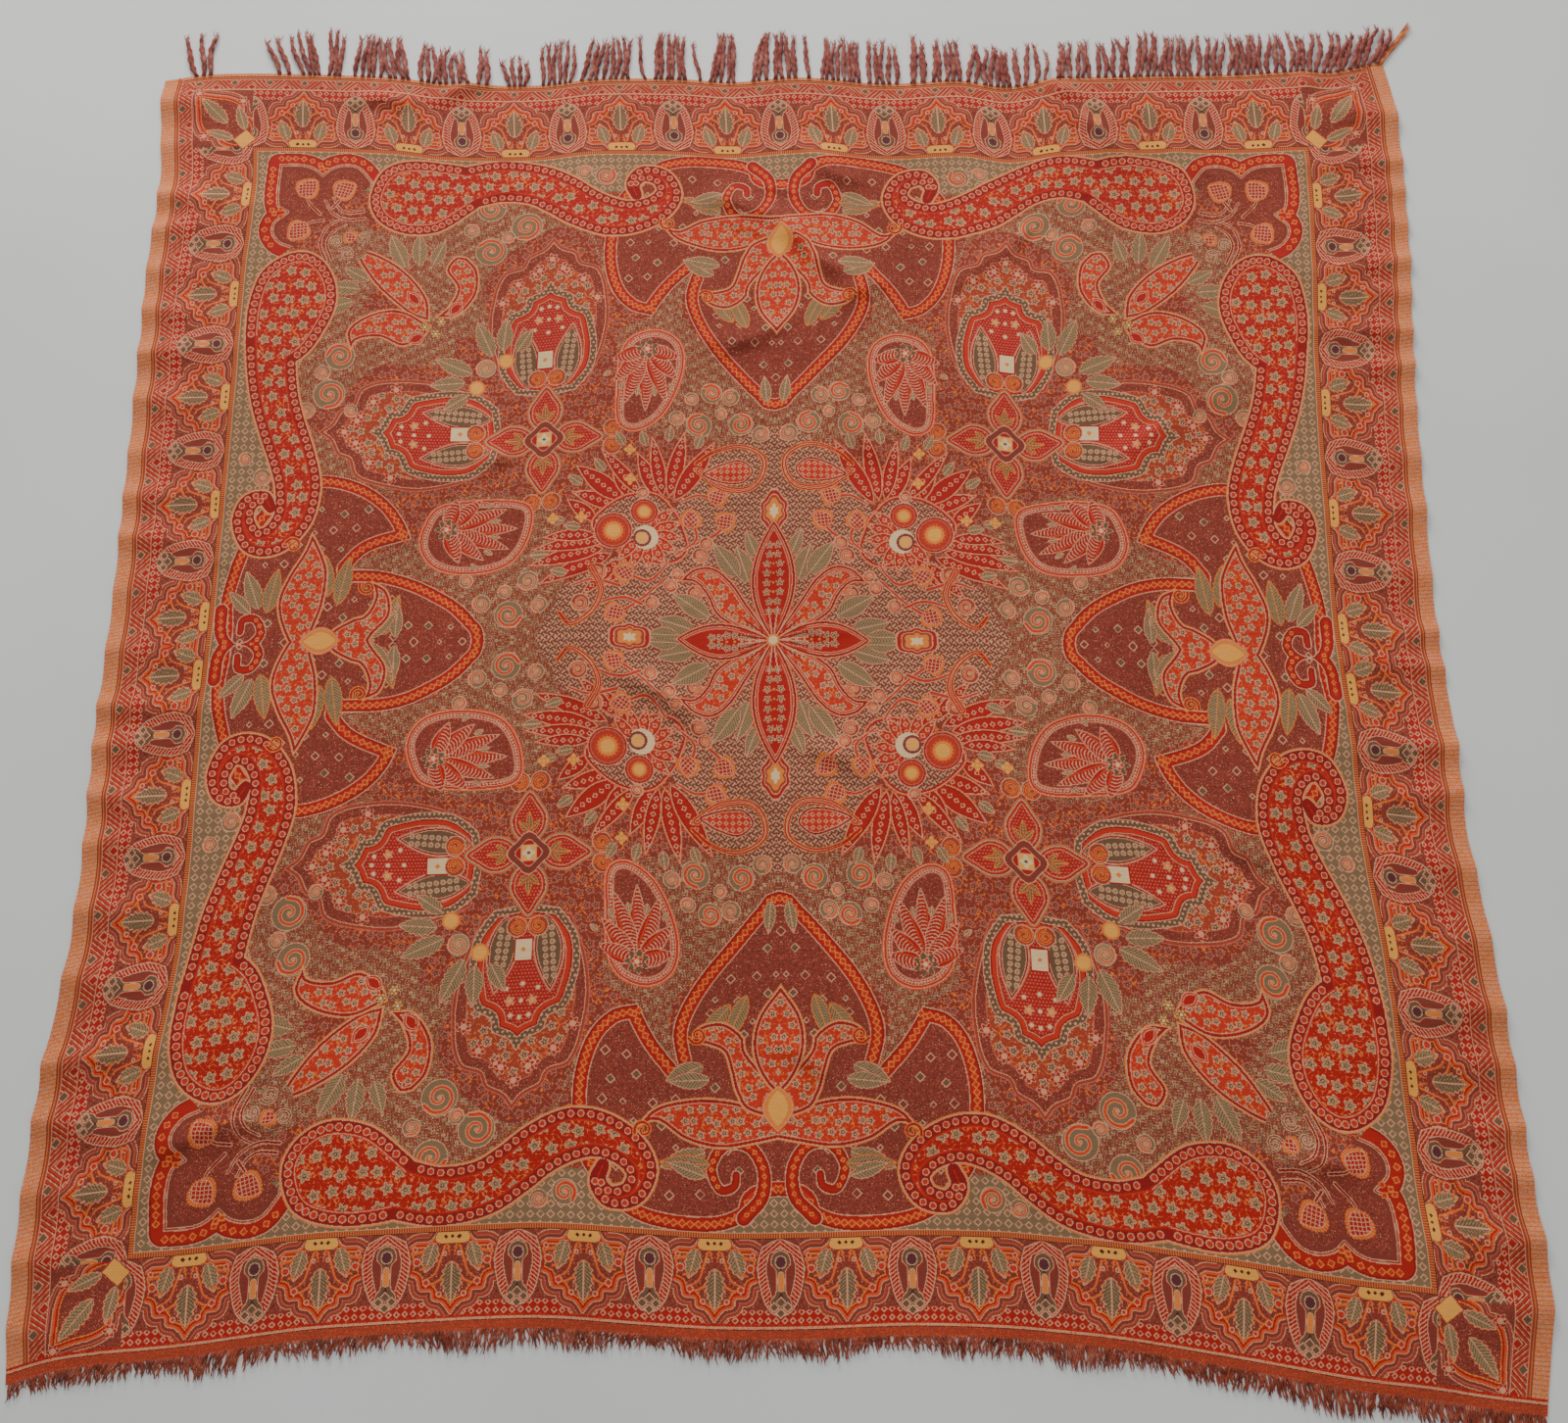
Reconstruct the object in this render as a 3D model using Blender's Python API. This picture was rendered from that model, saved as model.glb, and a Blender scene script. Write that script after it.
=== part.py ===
"""A square paisley shawl laid out on a floor: one woven cloth and the two fringes of its warp ends.

Metres, +Z up. The shawl lies in the XY plane, its far, long-fringed end toward +Y and its near, frayed end
toward -Y. The floor is z = 0 and the origin is the middle of the floor area that the whole shawl covers.
"""
import math
import random
from collections import namedtuple

import bmesh
import bpy

MM = 0.001

# The cloth as it was woven, how high in mm it has to rise to leave the floor, and its wall's columns in mm
CLOTH_THICKNESS = 1.5 * MM
WOVEN_WIDTH = 1300
LIES_FLAT_BELOW = 0.3
EDGE_COLUMNS = (0, 14, 34, 60, 92)
INNER_COLUMNS = 20

# The fringes' backing strips and strands
SEAM_GAP = 0.3 * MM
BACKING_DEPTH = 3.5 * MM
BACKING_HEIGHT = 1.4 * MM
TURN_CLEARANCE = 0.4 * MM
FLOOR_CLEARANCE = 0.3 * MM
STRAND_LENGTH_SPREAD = 5 * MM
STRAND_BOW = 2.5 * MM
STRAND_RISE = 2.6 * MM
FULL_STRAND_LENGTH = 50
TIP_HEIGHT = (0.8 * MM, 1.8 * MM)
NEAR_LOCKS = 92
NEAR_LOCK_LENGTH = (13 * MM, 24 * MM)
NEAR_CORNER_EXTRA = 6 * MM
NEAR_LOCK_FILL = (0.5, 0.78)

# Outline as it lies, in mm from the middle medallion. The weft runs along X and the warp along Y.
Side = namedtuple("Side", "y left right")
SIDES = (
    Side(-690, -642, 652),
    Side(-600, -649, 668),
    Side(-500, -650, 664),
    Side(-400, -646, 660),
    Side(-300, -636, 655),
    Side(-200, -635, 645),
    Side(-100, -638, 645),
    Side(0, -637, 640),
    Side(100, -638, 642),
    Side(200, -640, 645),
    Side(300, -642, 650),
    Side(400, -645, 658),
    Side(500, -643, 663),
    Side(600, -652, 663),
    Side(650, -650, 656),
)
End = namedtuple("End", "x near far")
ENDS = (
    End(-655, -670, 626),
    End(-600, -655, 635),
    End(-500, -645, 635),
    End(-400, -632, 630),
    End(-345, -628, 622),
    End(-250, -623, 621),
    End(-190, -622, 629),
    End(-100, -628, 629),
    End(-45, -631, 625),
    End(30, -631, 631),
    End(120, -628, 623),
    End(200, -630, 627),
    End(250, -634, 619),
    End(305, -640, 629),
    End(400, -655, 633),
    End(500, -672, 635),
    End(560, -679, 639),
    End(600, -685, 638),
    End(660, -692, 652),
)

# Ripples that run in from the two selvedges, from the far end to the near one. Places are mm along each
# selvedge, then each side's height and how far in it fades.
Ripple = namedtuple("Ripple", "left right left_height right_height left_reach right_reach")
RIPPLES = (
    Ripple(598, 581, 5.0, 5.5, 70, 90),
    Ripple(545, 526, 3.0, 4.0, 60, 110),
    Ripple(485, 492, 5.5, 3.0, 90, 60),
    Ripple(443, 450, 4.5, 3.5, 70, 80),
    Ripple(396, 407, 3.5, 5.5, 60, 90),
    Ripple(350, 368, 4.5, 4.0, 80, 70),
    Ripple(299, 325, 6.0, 5.0, 90, 110),
    Ripple(250, 287, 5.0, 5.5, 70, 80),
    Ripple(190, 240, 3.5, 3.0, 60, 70),
    Ripple(143, 186, 4.5, 3.5, 90, 60),
    Ripple(101, 130, 5.0, 5.0, 80, 90),
    Ripple(45, 60, 3.0, 3.5, 60, 80),
    Ripple(-15, 3, 4.0, 5.5, 90, 60),
    Ripple(-72, -34, 5.5, 5.0, 120, 90),
    Ripple(-112, -111, 5.0, 6.0, 70, 100),
    Ripple(-158, -156, 6.0, 5.5, 80, 110),
    Ripple(-205, -228, 4.5, 5.0, 60, 90),
    Ripple(-266, -290, 5.5, 3.5, 100, 60),
    Ripple(-326, -355, 5.0, 6.0, 80, 90),
    Ripple(-403, -405, 6.0, 5.0, 110, 120),
    Ripple(-451, -456, 5.5, 5.5, 90, 80),
    Ripple(-513, -500, 4.5, 4.5, 120, 60),
    Ripple(-568, -550, 5.0, 6.0, 80, 90),
    Ripple(-622, -606, 4.0, 4.5, 60, 70),
)
RIPPLE_SHARE = 0.42
CORNERS_X = (-645, 655)

# Soft ridges inside the cloth and along its two ends, from one place to another, in mm
RIDGE_OVERRUN = 0.25
Ridge = namedtuple("Ridge", "x0 y0 x1 y1 height half_width")
RIDGES = (
    Ridge(-75, 480, 5, 462, 5.0, 20),
    Ridge(-5, 466, 38, 424, 6.5, 20),
    Ridge(28, 428, 92, 380, 5.0, 20),
    Ridge(20, 545, 100, 497, 3.5, 22),
    Ridge(-80, 302, 28, 343, 3.5, 20),
    Ridge(55, 356, 118, 378, 3.0, 20),
    Ridge(165, 366, 285, 464, 2.5, 24),
    Ridge(476, 284, 428, 238, 3.5, 22),
    Ridge(432, 240, 322, 186, 3.0, 24),
    Ridge(295, 604, 375, 518, 4.0, 22),
    Ridge(408, 560, 446, 470, 3.0, 20),
    Ridge(52, 266, 115, 172, 3.0, 22),
    Ridge(-158, -26, -44, -114, 4.0, 22),
    Ridge(24, -106, 96, -144, 3.0, 20),
    Ridge(-296, 166, -254, 194, 2.5, 20),
    Ridge(392, -174, 466, -234, 3.5, 22),
    Ridge(432, -476, 528, -502, 3.5, 20),
    Ridge(-560, -484, -424, -446, 4.0, 22),
    Ridge(-8, -376, 66, -424, 2.5, 22),
    Ridge(-452, 596, -372, 604, 4.5, 16),
    Ridge(-366, 600, -298, 622, 4.5, 16),
    Ridge(286, 632, 330, 598, 4.5, 18),
    Ridge(560, 640, 580, 612, 3.0, 16),
)

# Twisted tassels of the far end, one row for each bunch: where its first and last roots and tips lie along X
Bunch = namedtuple("Bunch", "root0 root1 tip0 tip1 count length width")
BUNCHES = (
    Bunch(-618, -604, -632, -603, 3, 54, 4.2),
    Bunch(-529, -519, -546, -534, 2, 44, 4.0),
    Bunch(-503, -486, -520, -498, 4, 52, 3.6),
    Bunch(-476, -466, -479, -465, 3, 55, 3.8),
    Bunch(-448, -421, -443, -424, 5, 50, 3.6),
    Bunch(-411, -390, -419, -400, 4, 51, 4.0),
    Bunch(-377, -350, -378, -353, 5, 45, 4.0),
    Bunch(-342, -326, -346, -336, 3, 43, 4.0),
    Bunch(-314, -306, -314, -308, 2, 48, 4.4),
    Bunch(-283, -266, -292, -264, 4, 34, 3.6),
    Bunch(-246, -217, -248, -215, 6, 51, 3.4),
    Bunch(-205, -190, -195, -183, 3, 50, 4.0),
    Bunch(-181, -155, -178, -155, 5, 50, 3.8),
    Bunch(-137, -137, -144, -144, 1, 50, 3.0),
    Bunch(-126, -95, -124, -98, 6, 58, 4.0),
    Bunch(-78, -78, -86, -86, 1, 52, 3.0),
    Bunch(-68, -42, -58, -44, 5, 62, 3.6),
    Bunch(-22, -14, -15, -9, 2, 56, 4.0),
    Bunch(-6, 10, -5, 9, 3, 60, 4.2),
    Bunch(18, 25, 17, 24, 2, 55, 4.4),
    Bunch(38, 38, 35, 35, 1, 56, 3.6),
    Bunch(53, 64, 56, 66, 3, 50, 3.6),
    Bunch(71, 92, 71, 90, 5, 54, 3.6),
    Bunch(103, 133, 102, 131, 5, 52, 4.0),
    Bunch(147, 152, 148, 153, 1, 57, 5.6),
    Bunch(162, 162, 162, 162, 1, 51, 5.6),
    Bunch(173, 200, 172, 196, 5, 50, 4.2),
    Bunch(209, 218, 214, 222, 2, 46, 4.2),
    Bunch(227, 253, 231, 250, 5, 48, 4.2),
    Bunch(262, 262, 259, 259, 1, 51, 5.2),
    Bunch(270, 282, 275, 282, 2, 50, 4.2),
    Bunch(292, 292, 295, 295, 1, 40, 3.0),
    Bunch(305, 318, 308, 319, 3, 42, 4.2),
    Bunch(326, 340, 329, 338, 3, 47, 3.6),
    Bunch(350, 358, 351, 357, 2, 46, 4.0),
    Bunch(366, 381, 368, 382, 3, 50, 4.0),
    Bunch(388, 402, 396, 411, 3, 52, 4.2),
    Bunch(409, 434, 415, 437, 5, 48, 3.8),
    Bunch(441, 456, 443, 458, 3, 50, 4.0),
    Bunch(466, 480, 470, 488, 3, 46, 4.2),
    Bunch(490, 504, 496, 506, 3, 48, 4.2),
    Bunch(511, 524, 515, 526, 3, 47, 4.0),
    Bunch(532, 549, 536, 550, 3, 46, 4.2),
    Bunch(557, 568, 560, 571, 3, 46, 3.8),
    Bunch(576, 583, 584, 592, 2, 50, 4.2),
    Bunch(591, 649, 604, 668, 9, 48, 4.4),
    Bunch(655, 655, 694, 694, 1, 60, 5.0),
)


def blend(start, end, share):
    return start + (end - start) * share


def smooth_row(rows, at, column):
    """A column of a table at a place between its rows, eased through them with even slopes."""
    places = [row[0] for row in rows]
    values = [getattr(row, column) for row in rows]
    index = max(0, min(len(rows) - 2, sum(at >= place for place in places) - 1))
    before = max(0, index - 1)
    after = min(len(rows) - 1, index + 2)
    span = places[index + 1] - places[index]
    share = max(0.0, min(1.0, (at - places[index]) / span))
    rise0 = span * (values[index + 1] - values[before]) / (places[index + 1] - places[before])
    rise1 = span * (values[after] - values[index]) / (places[after] - places[index])
    square = share * share
    cube = square * share
    return (
        (2 * cube - 3 * square + 1) * values[index]
        + (cube - 2 * square + share) * rise0
        + (3 * square - 2 * cube) * values[index + 1]
        + (cube - square) * rise1
    )


def place_in_outline(across, along):
    """Where a point of the woven cloth lies, in mm, from its shares of the width and of the length."""
    x = blend(*CORNERS_X, across)
    for _ in range(2):
        y = blend(smooth_row(ENDS, x, "near"), smooth_row(ENDS, x, "far"), along)
        x = blend(smooth_row(SIDES, y, "left"), smooth_row(SIDES, y, "right"), across)
    return x, y


def share_of_length(y, corner):
    """A place along a selvedge, in mm, as a share of its length, from the row of its two corners."""
    return (y - corner.near) / (corner.far - corner.near)


def ripple_spans(side):
    """Half the base of each ripple on one side, from the distance to its neighbours."""
    places = [getattr(ripple, side) for ripple in RIPPLES]
    gaps = [before - after for before, after in zip(places, places[1:])]
    return [RIPPLE_SHARE * min(pair) for pair in zip([gaps[0]] + gaps, gaps + [gaps[-1]])]


def ripple_height(ripple, across):
    """A ripple's crest above the floor, in mm, fading inwards from both selvedges."""
    left_fade = across * WOVEN_WIDTH / ripple.left_reach
    right_fade = (1 - across) * WOVEN_WIDTH / ripple.right_reach
    left = ripple.left_height * math.exp(-(left_fade**2))
    right = ripple.right_height * math.exp(-(right_fade**2))
    return left + right


def ridge_height(x, y):
    """Height of the soft ridges at a place, in mm, each tapering to nothing at its two ends."""
    height = 0.0
    for ridge in RIDGES:
        run_x = ridge.x1 - ridge.x0
        run_y = ridge.y1 - ridge.y0
        length = math.hypot(run_x, run_y)
        share = ((x - ridge.x0) * run_x + (y - ridge.y0) * run_y) / length**2
        aside = ((x - ridge.x0) * run_y - (y - ridge.y0) * run_x) / length
        whole = (share + RIDGE_OVERRUN) / (1 + 2 * RIDGE_OVERRUN)
        if 0 < whole < 1:
            taper = math.sin(math.pi * whole) ** 2
            height += ridge.height * taper * math.exp(-((aside / ridge.half_width) ** 2))
    return height


def lifted(height):
    """A height in mm as metres, in tenths of a millimetre, where the least heights lie on the floor."""
    return max(0.0, round(height - LIES_FLAT_BELOW, 1)) * MM


def cloth_columns():
    """Shares of the width at which the wall's columns stand, closer together toward the selvedges."""
    left = [place / WOVEN_WIDTH for place in EDGE_COLUMNS]
    right = [1 - share for share in reversed(left)]
    step = (right[0] - left[-1]) / INNER_COLUMNS
    return left + [left[-1] + step * number for number in range(1, INNER_COLUMNS)] + right


def cloth_rows():
    """Each row's place on the left and right selvedges as shares of the length, and its ripple, if any."""
    rows = [(0.0, 0.0, None)]
    spans = zip(reversed(RIPPLES), reversed(ripple_spans("left")), reversed(ripple_spans("right")))
    for ripple, left_span, right_span in spans:
        for step, crest in ((-1, None), (0, ripple), (1, None)):
            left = share_of_length(ripple.left + step * left_span, ENDS[0])
            right = share_of_length(ripple.right + step * right_span, ENDS[-1])
            rows.append((left, right, crest))
    rows.append((1.0, 1.0, None))
    return rows


def make_material(name, colour, roughness):
    material = bpy.data.materials.new(name)
    material.use_nodes = True
    shader = material.node_tree.nodes["Principled BSDF"]
    shader.inputs["Base Color"].default_value = (*colour, 1)
    shader.inputs["Roughness"].default_value = roughness
    shader.inputs["Metallic"].default_value = 0
    return material


def add_object(name, form, material):
    """Closes the mesh being edited into a named object with its faces pointing out."""
    bmesh.ops.recalc_face_normals(form, faces=form.faces)
    mesh = bpy.data.meshes.new(name)
    form.to_mesh(mesh)
    form.free()
    mesh.materials.append(material)
    shawl_part = bpy.data.objects.new(name, mesh)
    bpy.context.scene.collection.objects.link(shawl_part)
    return shawl_part


def make_cloth(material):
    """The woven square: a grid lying on the floor but for its ripples and ridges, raised into a wall.

    Returns it with its near and far edges, whose points the fringes follow.
    """
    columns = cloth_columns()
    rows = cloth_rows()
    form = bmesh.new()
    grid = []
    for left, right, ripple in rows:
        line = []
        for across in columns:
            x, y = place_in_outline(across, blend(left, right, across))
            height = ridge_height(x, y)
            if ripple:
                height += ripple_height(ripple, across)
            line.append(form.verts.new((x * MM, y * MM, lifted(height))))
        grid.append(line)
    for lower, upper in zip(grid, grid[1:]):
        for corner in range(len(columns) - 1):
            form.faces.new((lower[corner], lower[corner + 1], upper[corner + 1], upper[corner]))
    near_edge = [tuple(vertex.co) for vertex in grid[0]]
    far_edge = [tuple(vertex.co) for vertex in grid[-1]]
    raised = bmesh.ops.extrude_face_region(form, geom=form.faces[:])
    tops = [item for item in raised["geom"] if isinstance(item, bmesh.types.BMVert)]
    bmesh.ops.translate(form, verts=tops, vec=(0, 0, CLOTH_THICKNESS))
    return add_object("shawl_cloth", form, material), near_edge, far_edge


Strand = namedtuple("Strand", "root tip length width")


def far_strands():
    """The tassels of the far end, in mm, each bunch spread evenly and then made a little uneven."""
    chance = random.Random(7)
    strands = []
    for bunch in BUNCHES:
        for number in range(bunch.count):
            share = number / (bunch.count - 1) if bunch.count > 1 else 0.5
            root = blend(bunch.root0, bunch.root1, share)
            tip = blend(bunch.tip0, bunch.tip1, share)
            length = bunch.length + chance.uniform(-1, 0.6) * STRAND_LENGTH_SPREAD / MM
            strands.append(Strand(root, tip, length, bunch.width))
    return strands


def near_strands():
    """The short frayed locks of the near end, in mm, a little longer toward the right corner."""
    chance = random.Random(11)
    start, end = ENDS[0].x + 14, ENDS[-1].x - 8
    pitch = (end - start) / NEAR_LOCKS
    strands = []
    for number in range(NEAR_LOCKS):
        root = start + pitch * (number + 0.5)
        share = max(0.0, root / end)
        length = chance.uniform(*NEAR_LOCK_LENGTH) / MM + share**2 * NEAR_CORNER_EXTRA / MM
        width = pitch * chance.uniform(*NEAR_LOCK_FILL)
        strands.append(Strand(root, root + chance.uniform(-2.5, 2.5), length, width))
    return strands


Station = namedtuple("Station", "share x z narrowing thinning")


def along_edge(edge, x):
    """The cloth edge's place and height above the floor at an X, straight between the wall's columns."""
    for (x0, y0, z0), (x1, y1, z1) in zip(edge, edge[1:]):
        if x <= x1 or (x1, y1, z1) == edge[-1]:
            share = (x - x0) / (x1 - x0)
            return blend(y0, y1, share), blend(z0, z1, share)


def root_beside_turns(strand, turns):
    """Where a strand's root starts and stops along X, kept to one side of any turn in the cloth's edge."""
    start = (strand.root - strand.width / 2) * MM
    stop = (strand.root + strand.width / 2) * MM
    for turn in turns:
        if start - TURN_CLEARANCE < turn < strand.root * MM:
            start = turn + TURN_CLEARANCE
        elif strand.root * MM <= turn < stop + TURN_CLEARANCE:
            stop = turn - TURN_CLEARANCE
    return start, stop


def make_fringe(name, strands, edge, outwards, seed, material):
    """A backing strip just clear of one end of the cloth, with each strand extruded from its outer side."""
    chance = random.Random(seed)
    turns = [x for x, _, _ in edge]
    spans = [root_beside_turns(strand, turns) for strand in strands]
    starts, stops = zip(*spans)
    free = [x for x in turns if starts[0] < x < stops[-1]]
    places = sorted([*starts, *stops, *free, starts[0] - 3 * MM, stops[-1] + 2 * MM])
    form = bmesh.new()
    sections = []
    for x in places:
        y, z = along_edge(edge, x)
        floor = z + FLOOR_CLEARANCE
        inner = y + outwards * SEAM_GAP
        outer = inner + outwards * BACKING_DEPTH
        top = floor + BACKING_HEIGHT
        corners = ((inner, floor), (outer, floor), (outer, top), (inner, top))
        sections.append([form.verts.new((x, y, z)) for y, z in corners])
    roots = []
    for x, one, two in zip(places, sections, sections[1:]):
        for side in range(4):
            following = (side + 1) % 4
            face = form.faces.new((one[side], two[side], two[following], one[following]))
            if side == 1 and x in starts:
                roots.append(face)
    form.faces.new(sections[0])
    form.faces.new(sections[-1])
    form.normal_update()
    for face, strand in zip(roots, strands):
        middle = face.calc_center_median()
        fullness = min(1.0, strand.length / FULL_STRAND_LENGTH)
        bow = chance.uniform(-1, 1) * STRAND_BOW * fullness
        rise = chance.uniform(0.2, 1.0) * STRAND_RISE * fullness
        halfway_x = blend(strand.root, strand.tip, 0.5) * MM + bow
        stations = (
            Station(0.5, halfway_x, middle.z + rise, 0.84, 0.9),
            Station(1.0, strand.tip * MM, FLOOR_CLEARANCE + chance.uniform(*TIP_HEIGHT), 0.62, 0.7),
        )
        for station in stations:
            face = bmesh.ops.extrude_discrete_faces(form, faces=[face])["faces"][0]
            centre = face.calc_center_median()
            half_width = strand.width / 2 * station.narrowing * MM
            half_height = BACKING_HEIGHT / 2 * station.thinning
            for vertex in face.verts:
                vertex.co = (
                    station.x + math.copysign(half_width, vertex.co.x - centre.x),
                    middle.y + outwards * strand.length * station.share * MM,
                    station.z + math.copysign(half_height, vertex.co.z - centre.z),
                )
    return add_object(name, form, material)


def centre_on_floor(parts):
    """Moves all pieces together, so that the origin is the middle of their box on the floor."""
    points = [vertex.co for part in parts for vertex in part.data.vertices]
    middle_x = (min(point.x for point in points) + max(point.x for point in points)) / 2
    middle_y = (min(point.y for point in points) + max(point.y for point in points)) / 2
    for part in parts:
        for vertex in part.data.vertices:
            vertex.co.x -= middle_x
            vertex.co.y -= middle_y


def make_shawl():
    wool = make_material("woven_red_paisley_wool", (0.36, 0.06, 0.035), 0.9)
    warp = make_material("twisted_rust_warp_ends", (0.25, 0.05, 0.035), 0.92)
    frayed = make_material("frayed_rust_warp_ends", (0.22, 0.045, 0.03), 0.95)
    cloth, near_edge, far_edge = make_cloth(wool)
    far_fringe = make_fringe("far_fringe", far_strands(), far_edge, 1, 23, warp)
    near_fringe = make_fringe("near_fringe", near_strands(), near_edge, -1, 29, frayed)
    centre_on_floor([cloth, far_fringe, near_fringe])


for old in list(bpy.data.objects):
    bpy.data.objects.remove(old, do_unlink=True)
make_shawl()
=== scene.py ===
"""A square paisley shawl laid out on a floor, dressed over its CAD model: woven cloth, tassels and frayed ends.

The frame's metres are used throughout. Tables in mm are measured from the middle of the medallion, X to the
right and Y toward the tasselled end.
"""
import math
import random
from collections import namedtuple

import bmesh
import bpy
import numpy as np
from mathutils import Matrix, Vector


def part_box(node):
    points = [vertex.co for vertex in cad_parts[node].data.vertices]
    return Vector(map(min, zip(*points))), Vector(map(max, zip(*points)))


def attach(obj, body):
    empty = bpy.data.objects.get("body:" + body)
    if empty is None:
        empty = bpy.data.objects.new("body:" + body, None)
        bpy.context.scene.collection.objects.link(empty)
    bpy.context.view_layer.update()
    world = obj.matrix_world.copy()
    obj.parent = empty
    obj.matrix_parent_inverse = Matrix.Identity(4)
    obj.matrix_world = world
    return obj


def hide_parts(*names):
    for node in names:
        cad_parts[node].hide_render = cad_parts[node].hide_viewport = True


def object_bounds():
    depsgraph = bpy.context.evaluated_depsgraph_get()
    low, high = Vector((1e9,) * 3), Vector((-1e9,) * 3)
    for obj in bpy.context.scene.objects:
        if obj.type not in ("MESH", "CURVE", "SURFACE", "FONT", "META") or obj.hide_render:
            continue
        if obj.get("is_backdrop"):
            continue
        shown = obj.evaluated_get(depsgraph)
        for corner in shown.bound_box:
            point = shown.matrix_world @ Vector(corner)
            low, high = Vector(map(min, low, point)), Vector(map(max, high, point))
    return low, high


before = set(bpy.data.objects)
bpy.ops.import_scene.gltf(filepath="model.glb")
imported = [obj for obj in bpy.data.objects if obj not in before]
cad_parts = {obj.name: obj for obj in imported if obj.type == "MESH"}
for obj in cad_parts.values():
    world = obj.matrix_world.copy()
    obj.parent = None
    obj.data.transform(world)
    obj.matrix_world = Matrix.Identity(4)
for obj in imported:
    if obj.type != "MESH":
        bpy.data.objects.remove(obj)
cad_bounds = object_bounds()
bpy.ops.object.select_all(action="DESELECT")
MM = 0.001


# The camera: a phone held at a standing person's chest height over the near part of the shawl, looking down
# and slightly ahead, so that the far edge looks narrower than the near one.
CAMERA_PLACE = (-0.0096, -0.4705, 1.40)
CAMERA_TILT = 15.87
LENS_PIXELS, IMAGE_WIDTH = 1566, 1600
camera = bpy.data.objects.new("photo_camera", bpy.data.cameras.new("photo_camera"))
camera.data.sensor_width = 36
camera.data.lens = 36 * LENS_PIXELS / IMAGE_WIDTH
camera.location = CAMERA_PLACE
camera.rotation_euler = (math.radians(CAMERA_TILT), 0, 0)
bpy.context.scene.collection.objects.link(camera)
bpy.context.scene.camera = camera


# The woven square: one soft wool twill, its field and borders woven in one piece with coloured wefts. It lies
# flat on the floor, rippled along both selvedges where they are a little tight, and creased here and there.
# How it lies comes first, then its chart, then the mesh.
Side = namedtuple("Side", "y left right")
SIDES = (
    Side(-690, -642, 652), Side(-600, -649, 668), Side(-500, -650, 664), Side(-400, -646, 660),
    Side(-300, -636, 655), Side(-200, -635, 645), Side(-100, -638, 645), Side(0, -637, 640),
    Side(100, -638, 642), Side(200, -640, 645), Side(300, -642, 650), Side(400, -645, 658),
    Side(500, -643, 663), Side(600, -652, 663), Side(650, -650, 656),
)
End = namedtuple("End", "x near far")
ENDS = (
    End(-655, -670, 626), End(-600, -655, 635), End(-500, -645, 635), End(-400, -632, 630),
    End(-345, -628, 622),
    End(-250, -623, 621), End(-190, -622, 629), End(-100, -628, 629), End(-45, -631, 625), End(30, -631, 631),
    End(120, -628, 623), End(200, -630, 627), End(250, -634, 619), End(305, -640, 629), End(400, -655, 633),
    End(500, -672, 635), End(560, -679, 639), End(600, -685, 638), End(660, -692, 652),
)
CORNERS_X = (-645, 655)

# Ripples along the selvedges: where each crest starts on the left and on the right, and its heights and reaches
RIPPLES = (
    (598, 581, 5.0, 5.5, 70, 90), (545, 526, 3.0, 4.0, 60, 110), (485, 492, 5.5, 3.0, 90, 60),
    (443, 450, 4.5, 3.5, 70, 80), (396, 407, 3.5, 5.5, 60, 90), (350, 368, 4.5, 4.0, 80, 70),
    (299, 325, 6.0, 5.0, 90, 110), (250, 287, 5.0, 5.5, 70, 80), (190, 240, 3.5, 3.0, 60, 70),
    (143, 186, 4.5, 3.5, 90, 60), (101, 130, 5.0, 5.0, 80, 90), (45, 60, 3.0, 3.5, 60, 80),
    (-15, 3, 4.0, 5.5, 90, 60), (-72, -34, 5.5, 5.0, 120, 90), (-112, -111, 5.0, 6.0, 70, 100),
    (-158, -156, 6.0, 5.5, 80, 110), (-205, -228, 4.5, 5.0, 60, 90), (-266, -290, 5.5, 3.5, 100, 60),
    (-326, -355, 5.0, 6.0, 80, 90), (-403, -405, 6.0, 5.0, 110, 120), (-451, -456, 5.5, 5.5, 90, 80),
    (-513, -500, 4.5, 4.5, 120, 60), (-568, -550, 5.0, 6.0, 80, 90), (-622, -606, 4.0, 4.5, 60, 70),
)
RIPPLE_SHARE = 0.42

# Soft folds and troughs: from one place to another, then height and half width in mm, troughs below nought
FOLDS = (
    (-75, 480, 5, 462, 5.0, 17), (-5, 466, 38, 424, 6.5, 17), (28, 428, 92, 380, 5.0, 17),
    (20, 545, 100, 497, 3.5, 18),
    (-80, 302, 28, 343, 3.5, 16), (55, 356, 118, 378, 3.0, 15), (165, 366, 285, 464, 2.5, 18),
    (476, 284, 428, 238, 3.5, 18), (432, 240, 322, 186, 3.0, 18), (295, 604, 375, 518, 4.0, 18),
    (408, 560, 446, 470, 3.0, 16), (52, 266, 115, 172, 3.0, 18), (-158, -26, -44, -114, 4.0, 18),
    (24, -106, 96, -144, 3.0, 16), (-296, 166, -254, 194, 2.5, 16), (392, -174, 466, -234, 3.5, 18),
    (432, -476, 528, -502, 3.5, 17), (-560, -484, -424, -446, 4.0, 18), (-8, -376, 66, -424, 2.5, 18),
    (-452, 596, -372, 604, 4.5, 14), (-366, 600, -298, 622, 4.5, 14), (286, 632, 330, 598, 4.5, 15),
    (560, 640, 580, 612, 3.0, 14),
)
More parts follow.
